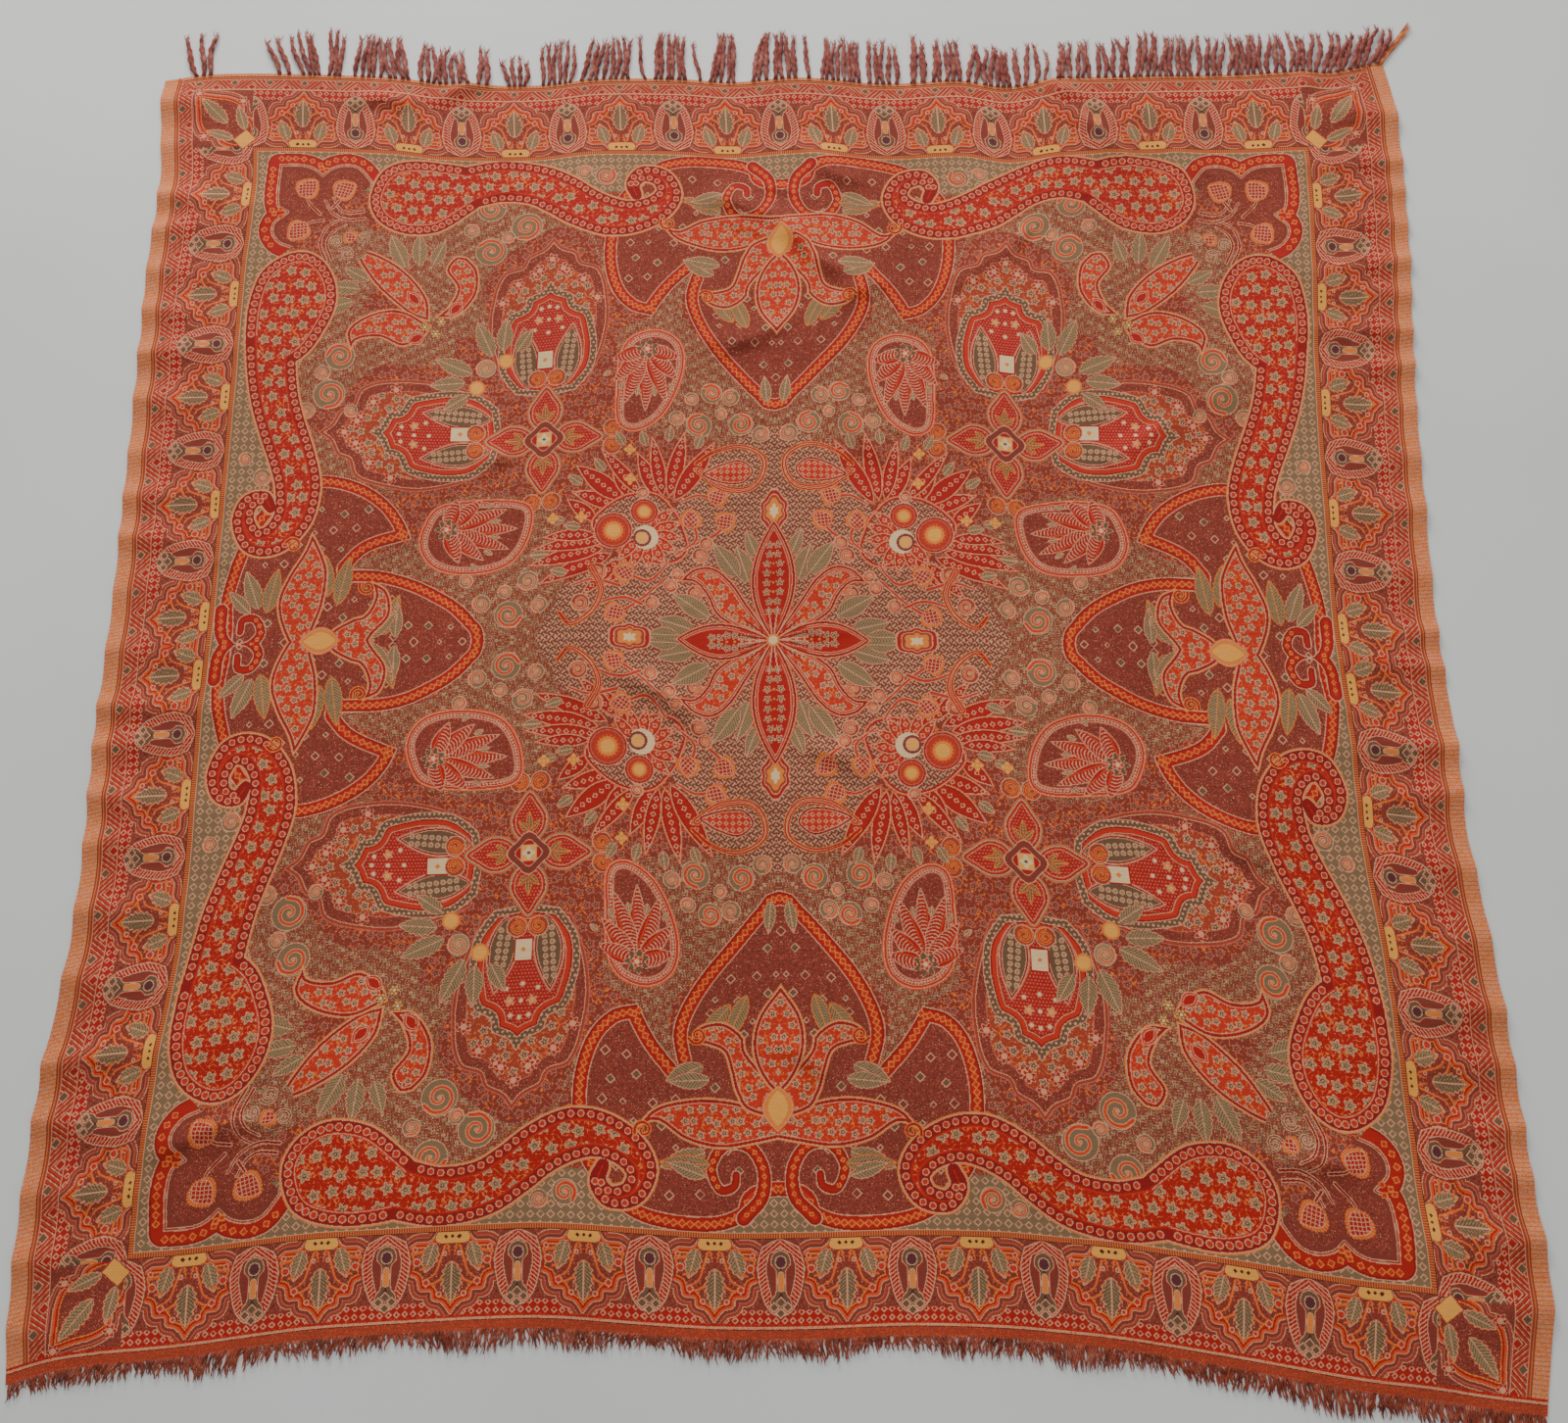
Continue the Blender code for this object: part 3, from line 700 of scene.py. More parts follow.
for turned in (list, twin):
    ogee, band = both_sides(HALF_OGEE, turned), both_sides(HALF_BAND, turned)
    shape(field, ogee, (-1.0, ROSE), (0, BRICK), (2.4, PEACH), (3.2, SPECKLED_GROUND), (12, ROSE),
        (12.8, RED_FILLER))
    quarter = 0 if turned is list else math.pi / 2
    for x, y in ((0, 415), (16, 400), (-16, 400), (33, 388), (-33, 388), (48, 366), (-48, 366), (12, 403),
            (-12, 403)):
        (x, y), = turned([(AXIS + x, y)])
        stamp(field, x, y, 0.4 * x, 8, rosette(7.0, 6, PEACH, CRIMSON, PEACH))
    shape(field, band, (0, PEACH), (0.9, GREY_DOTS), (6.4, PEACH), (7.2, WINE), (8.4, RED), (12.6, PEACH),
        (13.4, WINE), (14.2, RED_DOTS))
    for side in (-1, 1):
        (x, y), = turned([(AXIS + side * 18, 268)])
        turn = math.pi / 2 - 0.1 * side if turned is list else 0.1 * side
        stamp(field, x, y, turn, 78, petal(70, 13.5, ((1.1, ROSE), (0.2, PEACH), (-0.8, WINE), (-2.2, PEACH),
            (-3.0, OLIVE)), 0.85))
        for step in range(8):
            for aside in (-3.4, 3.4):
                along = 13 + step * 6.2
                stamp(field, x + along * math.cos(turn) - aside * math.sin(turn),
                    y + along * math.sin(turn) + aside * math.cos(turn),
                      turn, 4, ring(2.5, PEACH, KHAKI))
        (x, y), = turned([(AXIS + side * 10, 345)])
        stamp(field, x, y, 0, 7, rosette(5, 5, PEACH, ORANGE, GOLD))
    (x, y), = turned([(AXIS + 2, 299)])
    wide, tall = (7.4, 9.4) if turned is list else (9.4, 7.4)
    stamp(field, x, y, 0, 14, lambda u, v: layers(np.maximum(abs(u) / wide, abs(v) / tall), (1.12, CRIMSON),
        (1, CREAM)))
    stamp(field, x, y, 0, 4, diamond(2.6, ORANGE, ORANGE))
    for across, along in ((0, 330), (0, 345), (0, 360), (8, 358), (-8, 358), (14, 334), (-14, 334)):
        (x, y), = turned([(AXIS + across, along)])
        stamp(field, x, y, 0, 4, ring(2.3, PEACH, CREAM))

# The cross flower between the tulips: four pointed petals round a cream square
CROSS = (230, 210)
for quarter in range(4):
    turn = quarter * math.pi / 2
    x, y = CROSS[0] + 10 * math.cos(turn), CROSS[1] + 10 * math.sin(turn)
    petal_line = curve(moved([(0, 0), (9, 13), (24, 16), (37, 9), (48, 0), (37, -9), (24, -16), (9, -13)], x,
        y, turn), closed=True)
    shape(field, petal_line, (-2.2, VERMILION), (-1.4, KHAKI), (-0.2, PEACH), (0.7, WINE), (1.6, RED),
        (3.0, PEACH), (3.7, RED_DOTS))
    for side in (-0.75, 0, 0.75):
        stamp(field, x + 10 * math.cos(turn), y + 10 * math.sin(turn), turn + side, 26,
              leaf(20 - 7 * abs(side), 3.4, ORANGE, OLIVE, KHAKI, edge=CRIMSON))
    tip = (CROSS[0] + 68 * math.cos(turn), CROSS[1] + 68 * math.sin(turn))
    for side in (-1, 1):
        curl_x, curl_y = tip[0] - side * 9.6 * math.sin(turn), tip[1] + side * 9.6 * math.cos(turn)
        stamp(field, curl_x, curl_y, 0, 11, ring(9.6, PEACH, BRICK))
        spiral(field, curl_x, curl_y, 7.4, turn + math.pi, side, (0, ORANGE), (0.8, RED), width=3.2)
stamp(field, *CROSS, 0, 22, lambda u, v: layers(
    np.hypot(u, v) * (1 + 0.12 * np.cos(4 * np.arctan2(v, u) + np.pi)), (18, PEACH), (17, GROUND),
    (11.4, PEACH), (10.6, CRIMSON)))
stamp(field, *CROSS, 0, 12, lambda u, v: layers(np.maximum(abs(u), abs(v)), (7.6, PEACH), (6.9, GOLD)))
stamp(field, *CROSS, 0, 10, rosette(6.2, 4, CREAM, CREAM, OLIVE))

# Shells: rounded paisleys filled with barred plumes
SHELL_LEFT = [(345, 120), (348, 98), (336, 78), (312, 69), (280, 70), (256, 80), (241, 104), (238, 134),
    (255, 146),
              (300, 147), (332, 140)]
SHELL_NEAR = [(158, 300), (160, 262), (158, 226), (140, 216), (116, 230), (100, 258), (92, 292), (98, 318),
    (120, 330),
              (146, 322)]
SHELL_BANDS = ((-1.0, VERMILION), (0, PEACH), (0.9, RED), (3.0, PEACH), (3.7, CRIMSON), (7.2, PEACH),
    (8.0, ROSE), (8.8, SPECKLED_GROUND))
for shell, base, turn in ((SHELL_LEFT, (322, 116), math.pi), (SHELL_NEAR, (130, 308), -math.pi / 2)):
    line = curve(shell, closed=True)
    shape(field, line, *SHELL_BANDS)
    beads(field, line, 3.4, 5.5, 2, diamond(1.6, PEACH, PEACH))
    for lean, length, out in ((0.0, 62, 8), (0.34, 58, 8), (-0.34, 54, 8), (0.72, 44, 6), (-0.75, 40, 6),
            (1.2, 34, 4), (-1.3, 30, 4)):
        plume(field, base[0] + out * math.cos(turn + lean), base[1] + out * math.sin(turn + lean),
            turn + lean, length, 8.0)
    for lean in (0.17, -0.17, 0.53, -0.55, 0.95):
        stamp(field, base[0] + 44 * math.cos(turn + lean), base[1] + 44 * math.sin(turn + lean), turn + lean,
            12, leaf(10, 3.0))
    stamp(field, *base, 0, 15, rosette(12, 7, PEACH, OLIVE, KHAKI))
    stamp(field, *base, 0, 8, rosette(6.4, 5, PEACH, RED, CREAM))

# Curls on the worm-lined grounds
for x, y, radius, hand in ((257, 26, 13, 1), (240, 60, 9, -1), (284, 38, 8, -1), (262, 50, 6, 1),
        (228, 34, 7, 1), (300, 62, 6, -1),
                           (34, 228, 11, 1), (76, 226, 12, -1), (64, 262, 10, 1), (45, 258, 8, -1),
                           (14, 216, 8, 1), (98, 232, 7, 1),
                           (54, 240, 5, 1), (84, 254, 6, -1),
                           (294, 427, 15, 1), (260, 456, 15, -1), (298, 478, 14, -1), (278, 444, 6, 1),
                           (316, 452, 7, 1),
                           (448, 258, 15, -1), (440, 300, 14, 1), (470, 240, 8, -1), (456, 282, 7, 1),
                           (488, 292, 7, 1), (425, 240, 6, 1),
                           (182, 510, 10, 1), (204, 516, 7, -1), (508, 170, 8, 1), (526, 190, 6, -1)):
    curl(field, x, y, radius, hand)

# Corner lily between the tulips
LILY_BANDS = ((-1.0, ORANGE), (0, PEACH), (0.9, WINE), (2.0, CRIMSON), (3.4, PEACH), (4.2, SMALL_FLOWERS))
LILY_PETALS = (
    ([(352, 345), (374, 352), (404, 376), (424, 402), (436, 424)],
    [(436, 424), (408, 416), (378, 398), (356, 372), (352, 345)]),
    ([(350, 340), (358, 326), (378, 314), (402, 322), (424, 318), (430, 306)],
    [(430, 306), (434, 330), (412, 348), (380, 354), (350, 340)]),
    ([(346, 350), (334, 362), (326, 384), (338, 404), (330, 420), (318, 420)],
    [(318, 420), (306, 404), (306, 376), (324, 352), (346, 350)]),
)
for x, y, turn, length, width in ((430, 362, -0.3, 42, 10), (424, 376, 0.1, 34, 9), (416, 386, 0.5, 30, 8),
        (380, 404, 1.1, 40, 10),
                                  (366, 408, 1.5, 38, 9), (352, 410, 1.9, 30, 8), (305, 286, 0.4, 42, 10),
                                  (286, 306, 1.15, 42, 10),
                                  (312, 276, -0.1, 36, 9), (276, 312, 1.65, 36, 9), (308, 262, -0.6, 30, 8),
                                  (262, 310, 2.1, 30, 8)):
    stamp(field, x, y, turn, 52, leaf(length, width, lobes=0.16))
for x, y in ((300, 270), (272, 300)):
    stamp(field, x, y, 0, 10, lambda u, v: layers(np.hypot(u * 0.8, v * 0.8), (6.5, ORANGE), (5, GOLD)))
curl(field, 292, 292, 9, 1, ground=KHAKI)
for runs in LILY_PETALS:
    shape(field, outline(*runs), *LILY_BANDS)
for x, y, turn in ((356, 330, -0.6), (332, 352, 2.2), (362, 362, 0.8)):
    stamp(field, x, y, turn, 24, petal(20, 7, ((0.3, PEACH), (-0.8, RED), (-2.4, PEACH), (-3.2, CRIMSON))))
for x, y in ((345, 331), (356, 338), (340, 345)):
    stamp(field, x, y, 0, 8, rosette(5.6, 6, OLIVE, GOLD, CREAM))
shape(field, curve([(461, 410), (448, 402), (432, 406), (420, 422), (418, 440), (434, 452), (452, 448),
    (462, 430)], closed=True),
      (0, MOSS), (0.8, vermicelli))
for x, y, radius, hand in ((442, 416, 8, 1), (427, 437, 8, -1), (454, 430, 6, 1)):
    spiral(field, x, y, radius, 0.5, hand, (0, PEACH), (0.8, OLIVE), width=3)
bud(field, 440, 436, 0.8, 12)

# The corner cartouche of three lobes, each with a bud
CARTOUCHE = outline([(470, 424), (486, 420), (502, 424), (513, 429), (521, 440), (520, 452), (508, 464)],
                    [(508, 464), (518, 470), (521, 490), (519, 520)],
                    [(519, 520), (497, 520), (484, 516), (475, 508)],
                    [(475, 508), (465, 517), (450, 521), (436, 517), (424, 502)],
                    [(424, 502), (424, 484), (440, 462), (470, 424)])
corner = lambda x, y: x + y > 922
shape(field, CARTOUCHE, (-14.0, PEACH), (-13.0, WINE), (-11.4, CRIMSON), (-1.0, PEACH), (0, BRICK),
    (1.2, PEACH), (2.0, GROUND),
      (6, SPECKLED_GROUND), where=corner)
for x, y, turn in walk(leftward(CARTOUCHE), 7.4, -7.2):
    if x + y > 935:
        stamp(field, x, y, turn, 5, diamond(3.6, ORANGE, RED))
for points in (((462, 408), (470, 428), (464, 448), (448, 458)),
        ((456, 410), (463, 428), (458, 442), (446, 450)),
               ((428, 458), (446, 456), (462, 464), (470, 478)),
               ((430, 466), (446, 464), (456, 470), (462, 482)),
               ((470, 455), (484, 452), (490, 446)), ((474, 462), (486, 474), (490, 482)),
               ((462, 470), (456, 478), (452, 484))):
    stroke(field, points, 3.6, 2.6, (0, PEACH), (0.8, WINE))
for x, y, turn in ((494, 443, -0.9), (490, 492, 2.3), (452, 491, 2.6)):
    bud(field, x, y, turn, 23)

# Large paisleys with tails that curl over the hearts' edges
PAISLEY_NEAR = curve([(425, 485), (416, 458), (389, 443), (352, 448), (322, 470), (300, 492), (290, 515),
    (325, 529), (375, 532), (411, 518)], closed=True)
PAISLEY_LEFT = curve([(486, 419), (464, 408), (450, 384), (448, 356), (458, 328), (474, 302), (500, 286),
    (530, 290), (538, 340), (530, 388), (511, 411)], closed=True)
TAIL_NEAR = curve([(325, 503), (289, 511), (253, 506), (227, 491), (206, 475), (180, 462), (155, 460),
    (130, 470), (117, 488), (124, 507), (143, 512), (154, 500), (150, 486)])
TAIL_LEFT = curve([(511, 318), (508, 285), (502, 253), (492, 222), (480, 190), (472, 160), (474, 128),
    (490, 106), (511, 104), (523, 124), (519, 143), (505, 148), (497, 138)])
for body, tail in ((PAISLEY_NEAR, TAIL_NEAR), (PAISLEY_LEFT, TAIL_LEFT)):
    count = len(tail)
    widths = np.interp(np.arange(count), [0, count * 0.2, count * 0.42, count * 0.7, count],
        [26, 24, 23, 12.5, 6])
    part = window(field, np.concatenate([body, tail]), 30)
    body_depth, tail_depth = reach(part, body, True), reach(part, tail, False, widths)
    paint(part, np.minimum(body_depth, tail_depth), ((-1.4, ORANGE), (-0.2, PEACH), (0.8, WINE),
        (9.6, CRIMSON), (11.4, PEACH)))
    inner = np.minimum(body_depth + 12.2, reach(part, tail, False, np.maximum(widths - 11, 0.4)))
    paint(part, inner, ((0, RED), (1.0, FLOWERS)))
    beads(field, body, 9.0, 6.2, 5, ring(3.4, PEACH, RED), where=lambda x,
        y: min(np.hypot(*(tail[: count // 3] - (x, y)).T)) > 21)
    for side in (-1, 1):
        rim = []
        for number in range(1, count - 5):
            x, y = tail[number]
            run = tail[number + 1] - tail[number - 1]
            run = run / np.hypot(*run)
            away_from = max(widths[number] - 5.6, 1.5)
            place = (x - side * run[1] * away_from, y + side * run[0] * away_from)
            probe = Paper(None, np.array([[place[0]]]), np.array([[place[1]]]))
            if reach(probe, body, True)[0, 0] > -6:
                rim.append(place)
        for x, y, turn in walk(np.array(rim), 8.6, 0, closed=False):
            stamp(field, x, y, turn, 5, ring(3.1, PEACH, RED))

# Curls that end the hearts' bands
for points in (((30, 524), (14, 506), (13, 482), (26, 464), (46, 464), (57, 482), (50, 500), (38, 498),
        (36, 488)),
               ((536, 34), (534, 10), (522, -4), (506, -2), (496, 10), (502, 24), (514, 24), (516, 12))):
    stroke(field, points, 14, 8, (0, PEACH), (1, WINE), (2.4, CRIMSON), (5, RED))
    for x, y, turn in walk(curve(points), 7.4, 0, closed=False)[:-3]:
        stamp(field, x, y, turn, 4, diamond(2.6, ORANGE, RED))

# Red feathers and glowing discs
for x0, y0, x1, y1, width in ((160, 84, 228, 56, 8), (168, 90, 238, 76, 8), (166, 98, 236, 92, 7),
        (176, 104, 226, 104, 6),
                              (176, 120, 204, 142, 7), (150, 134, 200, 150, 8), (150, 142, 196, 178, 10),
                              (146, 146, 160, 190, 7),
                              (114, 146, 136, 192, 8), (110, 148, 122, 210, 7), (104, 148, 90, 216, 8),
                              (98, 144, 60, 208, 9),
                              (132, 148, 172, 196, 7), (140, 84, 170, 48, 6), (150, 80, 188, 40, 6)):
    turn, length = math.atan2(y1 - y0, x1 - x0), math.hypot(x1 - x0, y1 - y0)
    feather(field, x0, y0, turn, length, width)
for x, y, turn in ((202, 64, 0.3), (190, 112, 0.2), (168, 172, 0.9), (128, 200, 1.3), (78, 200, 1.9),
        (190, 158, 0.6), (206, 120, 0.1),
                   (106, 206, 1.7), (150, 200, 1.1), (222, 86, 0.0)):
    stamp(field, x, y, turn, 22, leaf(18, 5.4, lobes=0.1))
shape(field, curve([(84, 92), (96, 78), (118, 76), (134, 84), (150, 92), (174, 104), (178, 122), (150, 146),
    (118, 150), (98, 132), (88, 112)], closed=True),
      (-0.9, VERMILION), (0, PEACH), (0.9, CRIMSON), (3, fretted))
for turn in np.linspace(2.4, 5.4, 8):
    feather(field, 128 + 9 * math.cos(turn), 108 + 9 * math.sin(turn), turn, 30, 5.5, RED)
disc(field, 158, 109, 19)
disc(field, 128, 130, 14)
stamp(field, 126, 103, -0.8, 14, lambda u, v: np.where(
    np.hypot(u, v) > 12.5, -1, np.where(np.hypot(u - 3, v - 2) > 9, CREAM,
    np.where(np.hypot(u - 3, v - 2) > 6.5, GROUND, np.where(
        np.hypot(u - 3, v - 2) > 5.2, PEACH, GOLD)))).astype(np.int8))
for x, y in ((218, 123), (190, 123), (143, 164), (144, 196)):
    stamp(field, x, y, 0, 8, rosette(6.4, 4, ORANGE, GOLD, GOLD))

# Sprays round the medallion
for points in (((46, 122), (60, 108), (82, 96), (96, 86)), ((80, 122), (76, 104), (88, 92)),
        ((145, 66), (124, 58), (112, 66), (104, 78)),
               ((150, 24), (130, 38), (104, 62)), ((60, 148), (76, 150), (92, 142)),
               ((150, 52), (176, 58), (196, 52)),
               ((128, 34), (146, 40), (168, 34), (186, 20))):
    stroke(field, points, 4.4, 3.0, (0, PEACH), (0.7, RED))
for x, y, turn in ((48, 124, 2.5), (82, 124, 1.6), (146, 66, 0.2), (154, 24, -0.6), (56, 150, 2.6)):
    bud(field, x, y, turn, 19)
for x, y, radius, hand in ((76, 48, 7, 1), (72, 87, 7, -1), (66, 100, 6, 1), (100, 54, 6, -1),
        (118, 36, 6, 1), (94, 66, 5, 1),
                           (172, 66, 8, 1), (188, 34, 8, -1), (130, 150, 5, 1)):
    curl(field, x, y, radius, hand, ground=BRICK)
for points in (((74, 176), (52, 160), (26, 158), (12, 172), (12, 192), (34, 204), (60, 198), (78, 184)),
               ((178, 70), (168, 48), (176, 26), (196, 12), (208, 24))):
    stroke(field, points, 8, 4, (0, ORANGE), (0.8, CRIMSON), (2.2, PEACH), (2.9, RED))
shape(field, curve([(72, 172), (52, 164), (30, 164), (20, 178), (34, 190), (52, 186), (64, 180)],
    closed=True), (0, PEACH), (0.8, WINE), (2.4, PEACH), (3.1, diamonds_on(RED, PEACH, 6.2)))
for x, y, turn, length, width in ((76, 10, 0.25, 38, 9.5), (62, 24, 0.55, 42, 10), (24, 60, 1.25, 40, 10),
        (34, 66, 0.95, 42, 10), (16, 84, 1.2, 32, 7),
                                  (92, 4, 0.0, 30, 8)):
    stamp(field, x, y, turn, 46, leaf(length, width))
for x, y, along, aside in ((0, 133, 21, 13), (139, 0, 13, 21)):
    stamp(field, x, y, 0, 24, lambda u, v: layers(
        np.hypot(u / aside, v / along) + 0.07 * np.cos(6 * np.arctan2(v, u)), (1.05, PEACH), (0.98, CRIMSON),
        (0.8, PEACH), (0.74, BRICK),
        (0.6, ORANGE), (0.3, CREAM)))

# The medallion: a star of long petals over the cloth's very middle
STAR_BANDS = ((1.8, VERMILION), (0.8, PEACH), (0, WINE), (-2.0, PEACH), (-2.8, RED), (-4.2, PEACH),
    (-4.9, SMALL_FLOWERS))
shape(field, outline([(0, 0), (24, 35), (42, 62), (60, 75), (78, 72), (90, 60)],
    [(90, 60), (76, 59), (64, 46), (54, 27), (28, 10), (0, 0)]),
      *((-depth, colour) for depth, colour in STAR_BANDS))
for turn, length, width, fullness in ((0, 93, 18, 1.15), (math.pi / 2, 122, 21, 1.0)):
    far_row = 8 if turn else 6
    stamp(field, 0, 0, turn, length + 3, petal(length, width,
        ((1.8, VERMILION), (0.8, PEACH), (0, WINE), (-2.2, PEACH), (-3.0, RED),
                                                               (-4.6, PEACH), (-5.3, CRIMSON)), fullness))
    for step in range(3, far_row + 3):
        along = step * (length / 12.5)
        stamp(field, along * math.cos(turn), along * math.sin(turn), 0, 2, diamond(1.6, ORANGE, ORANGE))
        side = 6.4 if 4 < step < far_row + 1 else 4.0
        stamp(field, along * math.cos(turn) + side * math.sin(turn),
            along * math.sin(turn) + side * math.cos(turn), turn, 5,
              rosette(4.2, 5, PEACH, OLIVE, OLIVE))
for number in range(11):
    turn = 0.06 + number * math.pi / 2 / 10.3
    stroke(field, ((3 * math.cos(turn), 3 * math.sin(turn)), (34 * math.cos(turn), 34 * math.sin(turn))),
        1.7, 1.0,
           (0, (PEACH, WINE, RED)[number % 3]))
stamp(field, 0, 0, 0, 8, lambda u, v: layers(np.hypot(u, v), (6.5, ORANGE), (4.4, CREAM)))

# Lilies in the hearts
for x, y, turn, length, width in ((500, 34, 1.2, 42, 9), (492, 30, 1.75, 46, 9), (508, 30, 0.8, 32, 7),
        (424, 36, 1.75, 50, 9), (434, 44, 1.45, 44, 8),
                                  (378, 6, 1.9, 44, 9), (366, 4, 1.6, 36, 7), (392, 2, 2.3, 40, 8),
                                  (66, 396, 0.45, 36, 9), (60, 408, 0.1, 36, 8), (62, 470, 0.35, 42, 9),
                                  (58, 480, 0.0, 44, 8), (62, 490, -0.3, 34, 7),
                                  (44, 342, 0.9, 44, 8), (30, 334, 1.2, 44, 8), (8, 250, 1.45, 30, 6)):
    stamp(field, x, y, turn if turn < 1.57 or x > 300 else math.pi - turn, 56,
        leaf(length, width, ORANGE if length > 43 else PEACH, lobes=0.1))
HEART_PETALS = (
    ([(450, -30), (474, 10), (482, 40), (474, 66), (460, 92), (454, 110)],
    [(454, 110), (446, 96), (436, 70), (438, 36), (446, 8), (450, -30)]),
    ([(446, -30), (430, 6), (410, 20), (396, 26), (388, 44), (392, 60)],
    [(392, 60), (376, 50), (372, 26), (388, 4), (410, -30), (446, -30)]),
    ([(-30, 452), (20, 462), (50, 466), (80, 460), (104, 446), (122, 452)],
    [(122, 452), (108, 436), (88, 428), (58, 424), (24, 430), (-30, 452)]),
    ([(-30, 446), (22, 436), (36, 420), (42, 400), (48, 384), (62, 378), (78, 376)],
    [(78, 376), (70, 362), (50, 358), (32, 370), (24, 390), (-30, 446)]),
    ([(-30, 400), (-20, 415), (0, 420), (16, 402), (23, 378), (18, 352), (0, 326)],
    [(0, 326), (-20, 360), (-30, 400)]),
)
for runs in HEART_PETALS:
    shape(field, outline(*runs), *LILY_BANDS)
for x, y, hand in ((472, 98, 1), (396, 54, -1), (116, 454, -1), (72, 370, 1)):
    spiral(field, x, y, 8, 0.4, hand, (0, ORANGE), (0.9, CRIMSON), width=4, turns=1.3)
for x, y, turn in ((0, 414, math.pi / 2), (420, 0, 0)):
    stamp(field, x, y, turn, 44, petal(38, 13, ((1.2, VERMILION), (0.3, PEACH), (-0.7, ORANGE),
        (-4.5, GOLD)), 0.9))

# Borders: half a repeat, from the palmette's middle at 0 to the vase's, and from the outer edge inward
REPEAT, BORDER = 54.6, 67.2
repeat = new_paper(REPEAT, BORDER, GROUND)
repeat.codes[:] = speckled(GROUND, (0.16, BRICK), (0.05, ROSE), (0.06, DARK))(repeat.x, repeat.y, None)
small = repeat.y < 12
repeat.codes[small] = diamonds_on(CRIMSON, PEACH, 6.8)(repeat.x[small], repeat.y[small], None)


def hatched(x, y, under):
    return np.where((y - x * 0.8) % 3.5 < 1.3, PEACH, CRIMSON).astype(np.int8)


PALMETTE = ([(0, 2), (7, 11), (15, 14), (17, 21), (26, 22), (29, 31), (36, 35), (35, 45), (38, 52), (30, 59),
    (18, 60), (12, 68)],
            [(12, 68), (0, 70), (-12, 68)])
palmette = outline(PALMETTE[0], PALMETTE[1], [(-x, y) for x, y in PALMETTE[0]][::-1])
shape(repeat, palmette, (-7.6, PEACH), (-6.8, BRICK), (-4.4, ROSE), (-3.6, GROUND), (-1.0, PEACH),
    (-0.2, VERMILION), (1.8, CRIMSON), (3.6, ORANGE),
      (4.6, SPECKLED_GROUND))
WING = outline([(40, 60), (36, 46), (38, 30), (42, 18), (48, 10), (55, 8)],
    [(55, 8), (70, 20), (70, 60), (55, 66), (40, 60)])
shape(repeat, WING, (-2.4, GROUND), (-1.4, PEACH), (-0.4, hatched), (5.8, PEACH), (6.6, GROUND))
VASE = outline([(55, 58), (49, 55), (47, 48), (51, 42), (51, 26), (47, 20), (47, 15), (55, 12)],
    [(55, 12), (70, 30), (55, 58)])
shape(repeat, VASE, (-1.6, CRIMSON), (-0.8, PEACH), (0, OLIVE), (3.0, DARK))
stamp(repeat, 54.6, 49, 0, 8, ring(5.0, PEACH, PLUM))
shape(repeat, outline([(52, 26), (52, 40), (58, 40), (58, 26), (52, 26)]), (0, PEACH), (0.7, ORANGE))
for x, y in ((54.6, 18), (49, 14), (54.6, 9)):
    stamp(repeat, x, y, 0, 5, diamond(4.6, PEACH, OLIVE))
stamp(repeat, 0, 44, -math.pi / 2, 36, leaf(33, 9.2, PEACH, OLIVE, KHAKI, lobes=0.24, edge=VERMILION))
stamp(repeat, 15, 59, -math.pi / 2 + 0.3, 32, leaf(25, 7.4, PEACH, KHAKI, OLIVE, lobes=0.18, edge=VERMILION))
for points in (((6, 56), (10, 44), (14, 34), (24, 28)), ((8, 30), (16, 26), (20, 30)),
        ((24, 52), (32, 50), (31, 42)), ((26, 38), (20, 40)),
               ((4, 58), (2, 50))):
    stroke(repeat, points, 2.4, 1.6, (0, VERMILION), (0.7, ORANGE))
for x, y, radius in ((29, 44, 3.4), (21, 27, 3.0), (10, 18, 2.4), (31, 54, 2.4), (6, 50, 1.8)):
    stamp(repeat, x, y, 0, radius + 1, ring(radius, PEACH, RED))
shape(repeat, outline([(-12, 59), (12, 59), (10, 69), (-10, 69), (-12, 59)]), (-0.9, BRICK), (0, GOLD))
for x in (0, 5.4):
    stamp(repeat, x, 63.6, 0, 3, diamond(1.9, DARK, DARK))

SIDE_LINE, END_LINE, SIDE_BORDER, END_BORDER = 548.0, 541.0, 61.5, 69.0
V_REPEAT, H_REPEAT = 114.0, 110.2


def border_codes(deep, depth, distance, period):
    """The palmettes' colours by the share of the border's depth and the place along it, the vase at 0."""
    fold = abs((distance / period + 0.5) % 1 - 0.5) * 2
    column = np.clip(((1 - fold) * repeat.codes.shape[1]).astype(int), 0, repeat.codes.shape[1] - 1)
    row = np.clip(((1 - deep / depth) * repeat.codes.shape[0]).astype(int), 0, repeat.codes.shape[0] - 1)
    return repeat.codes[row, column]


